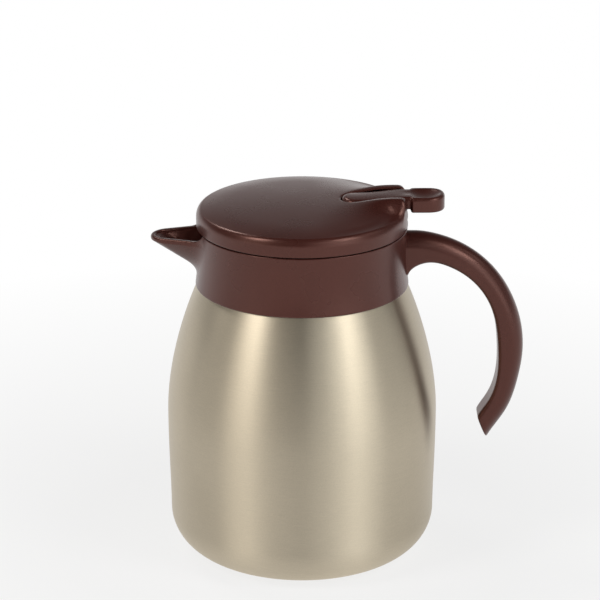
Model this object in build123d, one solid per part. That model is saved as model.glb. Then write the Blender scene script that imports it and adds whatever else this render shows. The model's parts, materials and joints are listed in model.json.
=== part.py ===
from build123d import *
import math
import os

# Vacuum carafe with a screw-in pouring stopper, worked by a thumb lever on its lid.
# Millimetres. +Z is up, the origin is the centre of the foot, the spout points to -X and the
# handle to +X.

# ---------------------------------------------------------------- driving dimensions
# steel vessel
belly_radius = 69.0            # widest radius of the outer shell
belly_height = 74.0            # height of the widest place
side_draft = 1.0               # how much narrower the shell is above its rounded bottom corner
base_corner = 21.0             # radius of the rounded bottom corner
shoulder_radius = 52.8         # shell radius at the collar's lower edge
shoulder_height = 143.0        # height of the collar's lower edge
shoulder_lean = 24.84          # degrees that the shoulder leans in from vertical there
base_handle = 15.0             # how far the side's upright tangent carries above the corner
belly_low_handle = 25.0        # how far the belly's upright tangent carries downwards
belly_handle = 27.0            # and upwards
shoulder_handle = 14.0         # how far the shoulder's leaning tangent carries
shoulder_turn = 6.0            # radius where the shoulder turns flat under the collar
neck_fillet = 3.0              # radius where the flat shoulder turns up into the neck
shell_wall = 0.8
liner_wall = 0.7
side_gap = 5.5                 # vacuum between shell and liner at the belly
base_gap = 9.0                 # vacuum under the liner
neck_gap = 2.4                 # vacuum between the two necks
liner_corner = 16.0            # radius of the liner's bottom corner
mouth_inset = 16.8             # from the shoulder's radius in to the bore of the mouth
mouth_rise = 10.0              # top of the rolled mouth above the collar's lower edge
lip_overhang = 1.2             # how far the rolled mouth stands out over the neck

# foot
hem_inset = 3.0                # from the start of the bottom corner in to the rolled-in foot
hem_height = 3.2
foot_plate_wall = 0.8
foot_plate_recess = 1.6        # the foot plate's underside stands this far above the table
dimple_radius = 7.0            # evacuation dimple in the foot plate
dimple_depth = 2.4
dimple_draft = 1.5             # slope of the dimple's side
seal_bead_radius = 4.5
seal_bead_height = 1.4
getter_radius = 6.0
getter_height = 2.0
getter_offset = 24.0

# collar
collar_foot_step = 1.2         # how far the collar's lower edge stands out of the shell
collar_waist_step = 0.1        # the same at its waist
collar_waist_rise = 12.0       # height of the waist above the collar's lower edge
collar_top_step = 0.4          # how far its top stands out of the shoulder's radius
collar_height = 29.7
collar_foot_round = 0.4
collar_wall = 2.7
collar_floor_rise = 9.0        # top of the collar's floor above its lower edge
collar_floor_wall = 2.5
collar_floor_round = 1.5
collar_edge_clearance = 0.35   # between the collar's lower edge and the shell

# spout
spout_overhang = 23.4          # from the collar's waist to the spout's tip
spout_nose = 9.3               # plan radius of the spout's tip
spout_root_half_width = 17.3   # half width where the spout leaves the collar
spout_rim_drop = 4.7           # how far the spout's rim lies below the collar's top
spout_lip = 2.0                # height of the upright lip along the rim
spout_slope = 33.4             # degrees that the spout's underside falls towards the collar
spout_keel = 3.4               # plan radius of the spout's keel at the collar
spout_wall = 2.7
spout_blend = 3.0              # fillet between spout and collar

# handle
handle_width = 16.0
handle_root_drop = 4.3         # top of the handle's root below the collar's top
handle_standoff = 44.0         # outermost face of the handle from the shell's widest place
handle_height = 110.4          # from its root's top down to the corner at its free end
handle_thickness = 13.1        # from outer to inner face at the outermost place
handle_edge_round = 4.2        # rounding of the outer long edges
handle_inner_round = 3.0       # rounding of the inner long edges
tenon_width = 13.0
tenon_height = 8.0
tenon_depth = 1.6              # how far the tenon reaches past the collar's wall
boss_half_width = 9.5          # boss inside the collar that backs the handle's screws
boss_drop = 2.0                # top of the boss below the handle's root
handle_screw_drop = 7.9        # screws below the top of the handle's root
handle_screw_spacing = 8.0
handle_screw_radius = 1.5
handle_screw_head_radius = 2.8
handle_screw_head_height = 1.9
handle_screw_length = 14.0

# neck ring that clamps the collar on the mouth and carries the thread
neck_ring_wall = 4.4
neck_ring_flange_reach = 2.5   # how far the flange reaches over the collar's floor
neck_ring_flange_wall = 1.8
neck_ring_bevel = 0.6
gasket_wall = 1.2              # of the two flat gaskets
neck_gasket_overlap = 1.4      # how far the mouth's bore lies inside the neck gasket's
thread_lead = 45.0             # rise in one turn
thread_starts = 4
lug_length = 14.0
lug_thickness = 2.4
lug_reach = 2.4                # how far the ring's lugs stand into its bore
lug_lead_angle = 8.0           # degrees that the stopper's lugs lie ahead of the ring's
lug_foot_gap = 0.49            # between the stopper's lugs and the neck gasket
lug_top_gap = 0.1              # between the ring's lugs and its top

# stopper
stopper_reach = 8.5            # how far the stopper hangs below the mouth
stopper_neck_clearance = 0.8   # between the stopper's barrel and the mouth's bore
stopper_step = 0.6             # the barrel above the mouth stands out over the mouth's bore
stopper_wall = 2.8
stopper_floor_wall = 2.0
seal_groove_rise = 3.5         # above the stopper's bottom
seal_groove_depth = 0.5        # deeper than the seal stands out
seal_height = 2.6
seal_lip = 0.7                 # how far the seal stands out of the barrel
port_radius = 10.5             # pouring port in the stopper's floor
seat_wall = 1.4
seat_height = 1.0
window_sill = 0.5              # the pouring windows begin this far above the neck ring
window_count = 4
window_post_angle = 22.0       # degrees of barrel left between two windows
deck_drop = 4.7                # underside of the deck below the collar's top
deck_wall = 2.0
rim_seal_height = 1.2
rim_seal_depth = 1.4
rim_seal_rise = 0.5            # above the deck's underside
spigot_height = 4.6            # upright ring on the deck that locates the lid cover
spigot_wall = 2.0
cover_screw_inset = 7.7        # from the lid's bore in to the screws
cover_screw_count = 4
cover_screw_radius = 1.5
cover_screw_head_radius = 2.8
cover_screw_head_height = 1.8
cover_screw_length = 7.5
screw_head_round = 0.7
screw_slot_width = 0.8
screw_slot_depth = 0.8

# lid cover
lid_gap = 0.5                  # shadow gap between collar and lid
lid_overhang = 0.1             # how far the lid stands out of the collar's top
lid_height = 9.4               # from the lid's lower edge to the top of its rounded rim
lid_edge_bevel = 0.4
lid_rim_round_height = 4.8     # the rim's rounding: upright reach
lid_rim_round_width = 2.7      # and reach towards the axis
lid_valley_depth = 0.35        # shallow valley just inside the rim
lid_valley_width = 2.0
lid_dome_rise = 2.0            # top of the dome above the rim
lid_wall = 2.2
lid_skirt_wall = 3.0
lid_shelf_width = 3.0          # where the skirt's inside slopes up to the ceiling
lid_boss_radius = 3.8
lid_boss_drop = 1.0            # the posts end this far below the rim, inside the lid's wall
pod_start = 9.0                # where the swelling around the lever begins, from the axis
pod_front = 22.0
pod_front_rise = 4.4           # height of the swelling there above the rim
pod_peak_inset = 6.3           # highest place of the swelling from the lid's rear edge
pod_peak_rise = 8.0            # and its height above the rim
pod_rear_drop = 0.6            # how far the swelling falls from there to the rear
pod_top_half_width = 10.4
pod_end_round = 7.5            # rounding where the swelling runs over the lid's rear rim
notch_half_width = 6.5         # shallow notch in the rear of the skirt
notch_depth = 1.1
notch_rise = 1.4               # lower edge of the notch above the lid's lower edge
notch_height = 4.2

# lever
lever_half_width = 7.8
lever_front = 20.0
lever_rise = 6.6               # lever's top above the lid's rim
lever_thickness = 5.8
lever_side_clearance = 0.5
pad_half_width = 9.6
pad_flare_gap = 0.5            # from the lid's rear edge to where the bar widens
pad_flare = 3.6                # length over which the bar widens into the thumb pad
pad_overhang = 18.3            # how far the pad reaches past the lid
pad_corner = 6.6
lever_edge_round = 1.3
lever_low_round = 0.6
dish_radius = 15.0
dish_depth = 1.7
lever_travel = 7.5             # degrees
pivot_inset = 9.3              # pivot from the lid's rear edge
pivot_rise = 0.6               # pivot above the lever's underside
pin_radius = 1.5
pin_half_length = 11.0
pin_clearance = 0.06
pivot_boss = 3.6
web_half_width = 3.0
web_front = 15.0               # front edge of the web from the pivot
web_rear = 2.5                 # and its rear edge
web_knee = 5.0                 # how far the web spreads where it meets the arm
arm_half_width = 6.2
arm_wall = 2.2
arm_end = 3.0                  # how far the arm's rear end stays in front of the pivot
arm_bottom_clearance = 0.6     # over the deck
arm_nub = 1.0
arm_nub_drop = 0.4             # how far the nub's centre lies below the arm's top
fork_overrun = 3.0             # how far the fork reaches past the stem
fork_depth = 2.4               # how far the fork's slot runs behind the stem

# valve
stem_radius = 2.6
stem_head_radius = 5.6
stem_head_wall = 1.7
valve_disc_reach = 4.5         # how far the disc reaches past the port
valve_disc_wall = 2.0
valve_hub_radius = 5.0
valve_hub_height = 4.0
valve_boss_gap = 1.9           # between the seal's boss and the port
valve_boss_lip = 0.7           # lip under the boss that holds the seal
valve_boss_drop = 0.9          # how far the lip hangs below the seal
valve_seal_wall = 1.3
valve_seal_reach = 1.8         # how far the seal reaches past the seat
valve_play = 0.25              # free play between fork and stem head
spring_radius = 7.2
spring_wire = 0.6
spring_turns = 6
stem_seal_radius = 8.6
stem_seal_wall = 1.6

# clearances and joins
seat_gap = 0.3                 # between pieces that lie close without touching
screw_clearance = 0.05
slide_clearance = 0.08
turn_clearance = 0.4           # between threads and bores that turn in each other
join = 0.5                     # how far two forms of one piece run into each other
beyond = 1.0                   # how far a cut runs past the face that it opens

# ---------------------------------------------------------------- derived places
lean = math.radians(shoulder_lean)
liner_inset = shell_wall + side_gap
mouth_bore = shoulder_radius - mouth_inset
mouth_height = shoulder_height + mouth_rise
liner_neck_outer = mouth_bore + liner_wall
shell_neck_radius = liner_neck_outer + neck_gap + shell_wall
lip_radius = shell_neck_radius + lip_overhang
flat_shoulder = shoulder_height + shoulder_turn * (1 - math.sin(lean))
hem_radius = belly_radius - side_draft - base_corner - hem_inset
collar_foot_radius = shoulder_radius + collar_foot_step
collar_waist_radius = shoulder_radius + collar_waist_step
collar_waist_height = shoulder_height + collar_waist_rise
collar_top_radius = shoulder_radius + collar_top_step
collar_top = shoulder_height + collar_height
collar_inner_top = collar_top_radius - collar_wall
collar_inner_waist = collar_waist_radius - collar_wall
collar_floor_top = shoulder_height + collar_floor_rise
spout_rim = collar_top - spout_rim_drop
handle_root_top = collar_top - handle_root_drop
handle_reach = belly_radius + handle_standoff
handle_screw_height = handle_root_top - handle_screw_drop
boss_top = handle_root_top - boss_drop
boss_mortise = collar_inner_waist - tenon_depth
tenon_range = (handle_screw_height - tenon_height / 2, handle_screw_height + tenon_height / 2)

stopper_neck_radius = mouth_bore - stopper_neck_clearance
stopper_barrel_radius = mouth_bore + stopper_step
neck_ring_bore = stopper_barrel_radius + turn_clearance + lug_reach
neck_ring_outer = neck_ring_bore + neck_ring_wall
neck_ring_flange = neck_ring_outer + neck_ring_flange_reach
neck_ring_bottom = flat_shoulder + 2 * seat_gap
gasket_top = mouth_height + gasket_wall
boss_inner = neck_ring_flange + join
lug_slope = math.atan(thread_lead / (2 * math.pi * neck_ring_bore))
lug_half_rise = (lug_length * math.sin(lug_slope) + lug_thickness * math.cos(lug_slope)) / 2
lug_step = ((lug_thickness + turn_clearance) / math.cos(lug_slope)
            - thread_lead * lug_lead_angle / 360.0)
stopper_lug_height = gasket_top + lug_foot_gap + lug_half_rise
ring_lug_height = stopper_lug_height + lug_step
neck_ring_top = ring_lug_height + lug_half_rise + lug_top_gap
stopper_lug_radius = neck_ring_bore - turn_clearance
ring_lug_bore = stopper_barrel_radius + turn_clearance

lid_bottom = collar_top + lid_gap
lid_radius = collar_top_radius + lid_overhang
lid_inner_radius = lid_radius - lid_skirt_wall
lid_rim_height = lid_bottom + lid_height
lid_dome_height = lid_rim_height + lid_dome_rise
lid_ceiling = lid_dome_height - lid_wall
pod_front_height = lid_rim_height + pod_front_rise
pod_peak = lid_radius - pod_peak_inset
pod_peak_height = lid_rim_height + pod_peak_rise
lever_top = lid_rim_height + lever_rise
lever_bottom = lever_top - lever_thickness
pad_end = lid_radius + pad_overhang
pivot_x = lid_radius - pivot_inset
pivot_height = lever_bottom + pivot_rise

deck_bottom = collar_top - deck_drop
deck_top = deck_bottom + deck_wall
deck_radius = lid_inner_radius - turn_clearance
window_bottom = neck_ring_top + window_sill
cover_screw_circle = lid_inner_radius - cover_screw_inset
stopper_bottom = mouth_height - stopper_reach
seal_groove_height = stopper_bottom + seal_groove_rise
seal_groove_radius = stopper_neck_radius - seal_lip - seal_groove_depth
stopper_inner_radius = stopper_neck_radius - stopper_wall
stopper_floor_top = stopper_bottom + stopper_floor_wall
seat_top = stopper_floor_top + seat_height
valve_disc_radius = port_radius + valve_disc_reach
valve_boss_radius = port_radius - valve_boss_gap
valve_seal_bottom = seat_top + seat_gap
valve_disc_bottom = valve_seal_bottom + valve_seal_wall
valve_disc_top = valve_disc_bottom + valve_disc_wall
arm_bottom = deck_top + arm_bottom_clearance
arm_top = arm_bottom + arm_wall
stem_head_bottom = arm_top + arm_nub + valve_play
stem_top = stem_head_bottom + stem_head_wall
spring_bottom = valve_disc_top + seat_gap
spring_top = deck_bottom - stem_seal_wall - seat_gap


# ---------------------------------------------------------------- helpers
def rounded_outline(corners):
    """Closed edges in the XZ plane from (x, z) or (x, z, corner radius)."""
    points = [Vector(c[0], 0, c[1]) for c in corners]
    radii = [c[2] if len(c) > 2 else 0.0 for c in corners]
    starts, ends, middles = [], [], []
    count = len(points)
    for i, point in enumerate(points):
        to_last = (points[i - 1] - point).normalized()
        to_next = (points[(i + 1) % count] - point).normalized()
        half_angle = math.radians(to_last.get_angle(to_next)) / 2
        if radii[i] == 0.0:
            starts.append(point)
            ends.append(point)
            middles.append(None)
            continue
        reach = radii[i] / math.tan(half_angle)
        starts.append(point + to_last * reach)
        ends.append(point + to_next * reach)
        inward = (to_last + to_next).normalized()
        middles.append(point + inward * (radii[i] / math.sin(half_angle) - radii[i]))
    edges = []
    for i in range(count):
        if middles[i] is not None:
            edges.append(ThreePointArc(starts[i], middles[i], ends[i]))
        following = starts[(i + 1) % count]
        if (following - ends[i]).length > 1e-6:
            edges.append(Line(ends[i], following))
    return edges


def turned(corners):
    """Solid turned about the axis from a closed (radius, height, corner radius) outline."""
    return revolve(make_face(rounded_outline(corners)), Axis.Z)


def tube(inner, outer, bottom, top):
    return turned([(inner, bottom), (outer, bottom), (outer, top), (inner, top)])


def rod(radius, start, end):
    """Round bar between two points."""
    direction = Vector(*end) - Vector(*start)
    bar = extrude(Plane(origin=start, z_dir=direction) * Circle(radius), direction.length)
    return bar


def block(x_range, y_range, z_range):
    size = [b - a for a, b in (x_range, y_range, z_range)]
    centre = [(a + b) / 2 for a, b in (x_range, y_range, z_range)]
    return Pos(*centre) * Box(*size)


def plan_hull(x_a, radius_a, x_b, radius_b, height):
    """Face at a height: the tangent hull of two circles on the X axis."""
    spread = math.asin((radius_b - radius_a) / abs(x_b - x_a))
    toward_a = 1 if x_a > x_b else -1
    corners = []
    for x, radius in ((x_a, radius_a), (x_b, radius_b)):
        side_x = x + toward_a * radius * math.sin(spread)
        side_y = radius * math.cos(spread)
        corners.append((side_x, side_y))
    (ax, ay), (bx, by) = corners
    tip_a = (x_a + toward_a * radius_a, 0, height)
    tip_b = (x_b - toward_a * radius_b, 0, height)
    edges = [ThreePointArc((ax, -ay, height), tip_a, (ax, ay, height)),
             Line((ax, ay, height), (bx, by, height)),
             ThreePointArc((bx, by, height), tip_b, (bx, -by, height)),
             Line((bx, -by, height), (ax, -ay, height))]
    return make_face(edges)


def ramp_lug(inner, outer, angle, height):
    """One lug of the quick thread: a short sloping ridge between two radii."""
    middle = (inner + outer) / 2
    slope = math.degrees(math.atan(thread_lead / (2 * math.pi * middle)))
    ridge = Box(4 * (outer - inner), lug_length, lug_thickness)
    ridge = Pos(middle, 0, height) * (Rot(slope, 0, 0) * ridge)
    ring = tube(inner, outer, height - lug_length, height + lug_length)
    return Rot(0, 0, angle) * (ridge & ring)


# ---------------------------------------------------------------- steel vessel
def vessel_side(inset, bottom, corner, turn, neck_radius, fillet_radius, top):
    """Edges of a vessel's outline, from the axis at its bottom to the top of its neck."""
    side = belly_radius - inset
    low_side = side - side_draft
    end = Vector(shoulder_radius - inset * math.cos(lean), 0,
                 shoulder_height - inset * math.sin(lean))
    along = Vector(-math.sin(lean), 0, math.cos(lean))
    belly = Vector(side, 0, belly_height)
    centre = end - Vector(math.cos(lean), 0, math.sin(lean)) * turn
    crown = centre + Vector(0, 0, turn)
    half_way = (lean + math.pi / 2) / 2
    turn_middle = centre + Vector(math.cos(half_way), 0, math.sin(half_way)) * turn
    corner_centre = Vector(low_side - corner, 0, bottom + corner)
    corner_middle = corner_centre + Vector(1, 0, -1).normalized() * corner
    neck_foot = Vector(neck_radius, 0, crown.Z + fillet_radius)
    neck_middle = Vector(neck_radius + fillet_radius * (1 - math.sqrt(0.5)), 0,
                         crown.Z + fillet_radius * (1 - math.sqrt(0.5)))
    flat_end = Vector(neck_radius + fillet_radius, 0, crown.Z)
    return [Line((0, 0, bottom), (low_side - corner, 0, bottom)),
            ThreePointArc((low_side - corner, 0, bottom), corner_middle,
                          (low_side, 0, bottom + corner)),
            Bezier((low_side, 0, bottom + corner), (low_side, 0, bottom + corner + base_handle),
                   belly - Vector(0, 0, belly_low_handle), belly),
            Bezier(belly, belly + Vector(0, 0, belly_handle), end - along * shoulder_handle, end),
            ThreePointArc(end, turn_middle, crown),
            Line(crown, flat_end),
            ThreePointArc(flat_end, neck_middle, neck_foot),
            Line(neck_foot, (neck_radius, 0, top))]


def vessel_solid(inset, bottom, corner, turn, neck_radius, fillet_radius, top):
    edges = vessel_side(inset, bottom, corner, turn, neck_radius, fillet_radius, top)
    edges += [Line((neck_radius, 0, top), (0, 0, top)), Line((0, 0, top), (0, 0, bottom))]
    return revolve(make_face(edges), Axis.Z)


def make_outer_shell():
    neck_top = mouth_height - liner_wall
    outside = vessel_solid(0, 0, base_corner, shoulder_turn, shell_neck_radius, neck_fillet, neck_top)
    inside = vessel_solid(shell_wall, shell_wall, base_corner - shell_wall, shoulder_turn - shell_wall,
                          shell_neck_radius - shell_wall, neck_fillet + shell_wall, neck_top)
    opening = Cylinder(hem_radius, 2 * hem_height)
    hem = tube(hem_radius, hem_radius + shell_wall, 0, hem_height)
    return outside - inside - opening + hem


def make_inner_liner():
    bottom = foot_plate_recess + foot_plate_wall + base_gap
    outside = vessel_solid(liner_inset, bottom, liner_corner, shoulder_turn, liner_neck_outer,
                           neck_fillet, mouth_height - liner_wall)
    inside = vessel_solid(liner_inset + liner_wall, bottom + liner_wall, liner_corner - liner_wall,
                          shoulder_turn - liner_wall, mouth_bore, neck_fillet + liner_wall, mouth_height)
    lip = tube(mouth_bore, lip_radius, mouth_height - liner_wall, mouth_height)
    return outside + lip - inside


def make_foot_plate():
    low = foot_plate_recess
    high = low + foot_plate_wall
    edge = hem_radius - screw_clearance
    flange = hem_height + foot_plate_wall
    # the plate's rim turns up and hooks over the shell's hem
    hook = hem_radius + shell_wall + foot_plate_wall
    foot = dimple_radius + dimple_draft
    bend = 0.75 * foot_plate_wall
    return turned([(0, low + dimple_depth), (dimple_radius, low + dimple_depth, bend),
                   (foot, low, bend), (edge, low, bend), (edge, hem_height),
                   (hook, hem_height), (hook, flange), (edge - foot_plate_wall, flange),
                   (edge - foot_plate_wall, high), (foot, high),
                   (dimple_radius + foot_plate_wall / 2, high + dimple_depth), (0, high + dimple_depth)])


def make_seal_bead():
    top = foot_plate_recess + dimple_depth
    low = top - seal_bead_height
    return turned([(0, low), (seal_bead_radius, low, 0.65 * seal_bead_height),
                   (seal_bead_radius, top), (0, top)])


def make_getter():
    top = foot_plate_recess + foot_plate_wall + base_gap
    low = top - getter_height
    pellet = turned([(0, low), (getter_radius, low, getter_height / 4),
                     (getter_radius, top), (0, top)])
    return Pos(getter_offset, 0, 0) * pellet


# ---------------------------------------------------------------- collar, spout and handle
def collar_outside():
    """Full turned body with the collar's outer surface."""
    low = (collar_foot_radius - collar_foot_round, 0, shoulder_height)
    foot = (collar_foot_radius, 0, shoulder_height + collar_foot_round)
    waist = (collar_waist_radius, 0, collar_waist_height)
    edges = [Line((0, 0, shoulder_height), low),
             Line(low, foot),
             ThreePointArc(foot, waist, (collar_top_radius, 0, collar_top)),
             Line((collar_top_radius, 0, collar_top), (0, 0, collar_top)),
             Line((0, 0, collar_top), (0, 0, shoulder_height))]
    return revolve(make_face(edges), Axis.Z)


def spout_form(inset):
    """The spout's outer form, or with an inset the trough inside it, up to its rim."""
    slope = math.radians(spout_slope)
    spout_reach = collar_waist_radius + spout_overhang
    root_x = -collar_inner_waist + spout_root_half_width
    keel_height = spout_rim - spout_lip - spout_overhang * math.tan(slope)
    if inset > 0:
        lip_height = spout_rim
        keel_height += inset / math.cos(slope)
    else:
        lip_height = spout_rim - spout_lip
    tip = spout_reach - inset
    keel_tip = tip - (lip_height - keel_height) / math.tan(slope)
    nose = spout_nose - inset
    keel = spout_keel - inset / 2
    root = spout_root_half_width - inset
    rim_face = plan_hull(-(tip - nose), nose, root_x, root, lip_height)
    keel_face = plan_hull(-(keel_tip - keel), keel, root_x, root * 0.8, keel_height)
    form = loft([keel_face, rim_face], ruled=True)
    top = spout_rim if inset == 0 else collar_top + beyond
    return form + extrude(rim_face, top - lip_height, dir=(0, 0, 1))


def make_collar():
    body = collar_outside() + spout_form(0)
    body = fillet(spout_root_edges(body), spout_blend)
    collar = body - collar_hollow() - spout_form(spout_wall)
    boss = block((boss_inner, collar_inner_waist + join), (-boss_half_width, boss_half_width),
                 (collar_floor_top - beyond, boss_top))
    boss = boss & tube(0, collar_waist_radius - beyond, collar_floor_top - beyond, boss_top)
    mortise = block((boss_mortise, collar_top_radius + spout_nose),
                    (-tenon_width / 2, tenon_width / 2), tenon_range)
    collar = collar + boss - mortise
    for side in (-1, 1):
        collar = collar - screw_bar(side, handle_screw_radius + screw_clearance,
                                    boss_inner - beyond, boss_mortise + join)
    return collar


def collar_hollow():
    """Room in the collar: for the stopper above its floor, for the shoulder and ring below."""
    floor_under = collar_floor_top - collar_floor_wall
    floor_hole = neck_ring_outer + turn_clearance
    inner_low = shoulder_radius + collar_edge_clearance
    bearing = floor_hole + collar_wall
    below = shoulder_height - beyond
    above = collar_top + beyond
    bevel = collar_floor_round
    hollow = turned([(0, collar_floor_top), (collar_inner_top, collar_floor_top, bevel),
                     (collar_inner_top, above), (0, above)])
    hole = tube(0, floor_hole, below, collar_floor_top + beyond)
    under = turned([(bearing, below), (inner_low, below), (inner_low, shoulder_height),
                    (collar_inner_top + turn_clearance, floor_under - bevel),
                    (collar_inner_top - 2 * turn_clearance, floor_under), (bearing, floor_under)])
    seat = tube(0, bearing + beyond, below, flat_shoulder + gasket_wall)
    return hollow + hole + under + seat


def spout_root_edges(body):
    """Edges where the spout meets the collar's outer wall."""
    def on_wall(edge):
        spots = [edge.position_at(share) for share in (0, 0.5, 1)]
        return all(abs(math.hypot(spot.X, spot.Y) - collar_waist_radius) < join for spot in spots)
    return [edge for edge in body.edges()
            if edge.center().X < 0 and on_wall(edge)
            and shoulder_height + beyond < edge.center().Z < collar_top - beyond]


def screw_bar(side, radius, start_x, end_x):
    y = side * handle_screw_spacing / 2
    return rod(radius, (start_x, y, handle_screw_height), (end_x, y, handle_screw_height))


def handle_outline():
    """Side outline of the handle: outer curve to the tip, oblique end, inner curve back."""
    outer_bow = handle_reach - collar_waist_radius
    inner_bow = outer_bow - handle_thickness
    top = handle_root_top
    # shares of the bow outwards, and of the handle's height downwards
    outer = [(collar_waist_radius + out * outer_bow, 0, top - down * handle_height)
             for out, down in ((0.06, 0.0), (0.24, 0.0136), (0.51, 0.0725), (0.732, 0.1694),
                               (0.915, 0.326), (1.0, 0.5525), (0.967, 0.6975), (0.872, 0.8578),
                               (0.705, 1.0))]
    inner = [(collar_waist_radius + out * inner_bow, 0, top - down * handle_height)
             for out, down in ((0.79, 0.8841), (0.905, 0.8053), (0.978, 0.7228), (1.0, 0.5435),
                               (0.893, 0.3225), (0.686, 0.2056), (0.453, 0.1449), (0.262, 0.125),
                               (0.118, 0.1386), (0.012, 0.1848))]
    root_x = collar_waist_radius - collar_wall / 2
    root_low = inner[-1][2]
    return [Line((root_x, 0, top), outer[0]),
            Spline(*outer, tangents=[(1, 0, 0), (-0.55, 0, -1)]),
            Line(outer[-1], inner[0]),
            Spline(*inner, tangents=[(0.5, 0, 1), (-0.25, 0, -1)]),
            Line(inner[-1], (root_x, 0, root_low)),
            Line((root_x, 0, root_low), (root_x, 0, top))]


def long_rims(body, half):
    """Edges that lie in the handle's two side faces, from short to long."""
    rims = [edge for edge in body.edges() if abs(abs(edge.center().Y) - half) < 0.01]
    return sorted(rims, key=lambda edge: edge.length)


def make_handle():
    half = handle_width / 2
    slab = extrude(make_face(handle_outline()), half, dir=(0, 1, 0), both=True)
    rims = long_rims(slab, half)
    outer_rims, inner_length = rims[-2:], rims[-3].length
    handle = fillet(outer_rims, handle_edge_round)
    inner_rims = [edge for edge in long_rims(handle, half) if abs(edge.length - inner_length) < 1.0]
    handle = fillet(inner_rims, handle_inner_round)
    handle = handle - collar_outside()
    tenon = block((boss_mortise, collar_waist_radius + beyond),
                  (-tenon_width / 2, tenon_width / 2), tenon_range)
    handle = handle + tenon
    for side in (-1, 1):
        handle = handle - screw_bar(side, handle_screw_radius, boss_mortise - beyond,
                                    boss_inner + handle_screw_length + seat_gap)
    return handle


def make_handle_screws():
    low = boss_inner - handle_screw_head_height
    recess_end = low + screw_slot_depth
    half, span = screw_slot_width / 2, 0.64 * handle_screw_head_radius
    z = handle_screw_height
    screws = []
    for side in (-1, 1):
        y = side * handle_screw_spacing / 2
        head = screw_bar(side, handle_screw_head_radius, low, boss_inner)
        head = fillet(head.edges().group_by(Axis.X)[0], screw_head_round)
        head = head - block((low - beyond, recess_end), (y - half, y + half), (z - span, z + span))
        head = head - block((low - beyond, recess_end), (y - span, y + span), (z - half, z + half))
        shank = screw_bar(side, handle_screw_radius - screw_clearance, boss_inner - join,
                          boss_inner + handle_screw_length)
        screws.append(head + shank)
    return Compound(children=[screw.solid() for screw in screws])


# ---------------------------------------------------------------- neck ring and gaskets
def make_shoulder_gasket():
    inner = neck_ring_outer + turn_clearance
    return tube(inner, inner + collar_wall, flat_shoulder, flat_shoulder + gasket_wall)


def make_neck_gasket():
    return tube(mouth_bore + neck_gasket_overlap, lip_radius, mouth_height, gasket_top)


def make_neck_ring():
    """Ring that snaps under the rolled mouth, clamps the collar's floor and holds the thread."""
    snap_bore = shell_neck_radius + seat_gap
    groove = lip_radius + seat_gap
    groove_low = mouth_height - liner_wall - seat_gap
    flange_top = collar_floor_top + neck_ring_flange_wall
    bevel = neck_ring_bevel
    ring = turned([(neck_ring_outer - bevel, neck_ring_bottom),
                   (neck_ring_outer, neck_ring_bottom + bevel),
                   (neck_ring_outer, collar_floor_top), (neck_ring_flange, collar_floor_top),
                   (neck_ring_flange, flange_top, bevel), (neck_ring_outer, flange_top, 1.5 * bevel),
                   (neck_ring_outer, neck_ring_top, bevel), (neck_ring_bore, neck_ring_top, bevel),
                   (neck_ring_bore, gasket_top), (groove, gasket_top), (groove, groove_low),
                   (snap_bore, groove_low), (snap_bore, neck_ring_bottom + neck_fillet),
                   (snap_bore + neck_fillet - screw_clearance, neck_ring_bottom)])
    for start in range(thread_starts):
        angle = (start + 0.5) * 360.0 / thread_starts
        ring = ring + ramp_lug(ring_lug_bore, neck_ring_bore + join, angle, ring_lug_height)
    return ring


# ---------------------------------------------------------------- stopper
def stopper_shape():
    """Barrel, floor with its pouring port, deck and spigot, turned in one piece."""
    barrel, neck, edge = stopper_barrel_radius, stopper_neck_radius, deck_radius
    seal_top = seal_groove_height + seal_height
    step = mouth_height + turn_clearance
    rim_low = deck_bottom + rim_seal_rise
    rim_high = rim_low + rim_seal_height
    spigot_top = deck_top + spigot_height
    bore = stem_radius + slide_clearance
    seat = port_radius + seat_wall
    inner = stopper_inner_radius
    return turned([(port_radius, stopper_bottom), (neck, stopper_bottom, 1.0),
                   (neck, seal_groove_height), (seal_groove_radius, seal_groove_height),
                   (seal_groove_radius, seal_top), (neck, seal_top),
                   (neck, step), (barrel, step + stopper_step),
                   (barrel, deck_bottom), (edge, deck_bottom),
                   (edge, rim_low), (edge - rim_seal_depth, rim_low),
                   (edge - rim_seal_depth, rim_high), (edge, rim_high),
                   (edge, spigot_top, 0.5), (edge - spigot_wall, spigot_top, 0.5),
                   (edge - spigot_wall, deck_top), (bore, deck_top), (bore, deck_bottom),
                   (inner, deck_bottom, 0.8), (inner, stopper_floor_top, 0.8),
                   (seat, stopper_floor_top), (seat, seat_top, seat_wall / 4),
                   (port_radius, seat_top, seat_wall / 4)])


def make_stopper_body():
    body = stopper_shape()
    window_angle = 360.0 / window_count - window_post_angle
    for i in range(window_count):
        body = body - window(i * 360.0 / window_count + 180.0, window_angle, stopper_inner_radius)
    for start in range(thread_starts):
        angle = (start + 0.5) * 360.0 / thread_starts + lug_lead_angle
        body = body + ramp_lug(stopper_barrel_radius - join, stopper_lug_radius, angle,
                               stopper_lug_height)
    for x, y in cover_screw_places():
        body = body - rod(cover_screw_radius + screw_clearance, (x, y, deck_bottom - beyond),
                          (x, y, deck_top + beyond))
    return body


def window(direction, angle, inner):
    """Pouring window through the stopper's barrel, centred on a direction."""
    low, high = math.radians(direction - angle / 2), math.radians(direction + angle / 2)
    middle = math.radians(direction)
    near, far = inner - beyond, stopper_barrel_radius + beyond

    def spot(radius, turn):
        return (radius * math.cos(turn), radius * math.sin(turn), window_bottom)
    sector = make_face([Line(spot(near, low), spot(far, low)),
                        ThreePointArc(spot(far, low), spot(far, middle), spot(far, high)),
                        Line(spot(far, high), spot(near, high)),
                        ThreePointArc(spot(near, high), spot(near, middle), spot(near, low))])
    return extrude(sector, deck_bottom - window_bottom, dir=(0, 0, 1))


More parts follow.
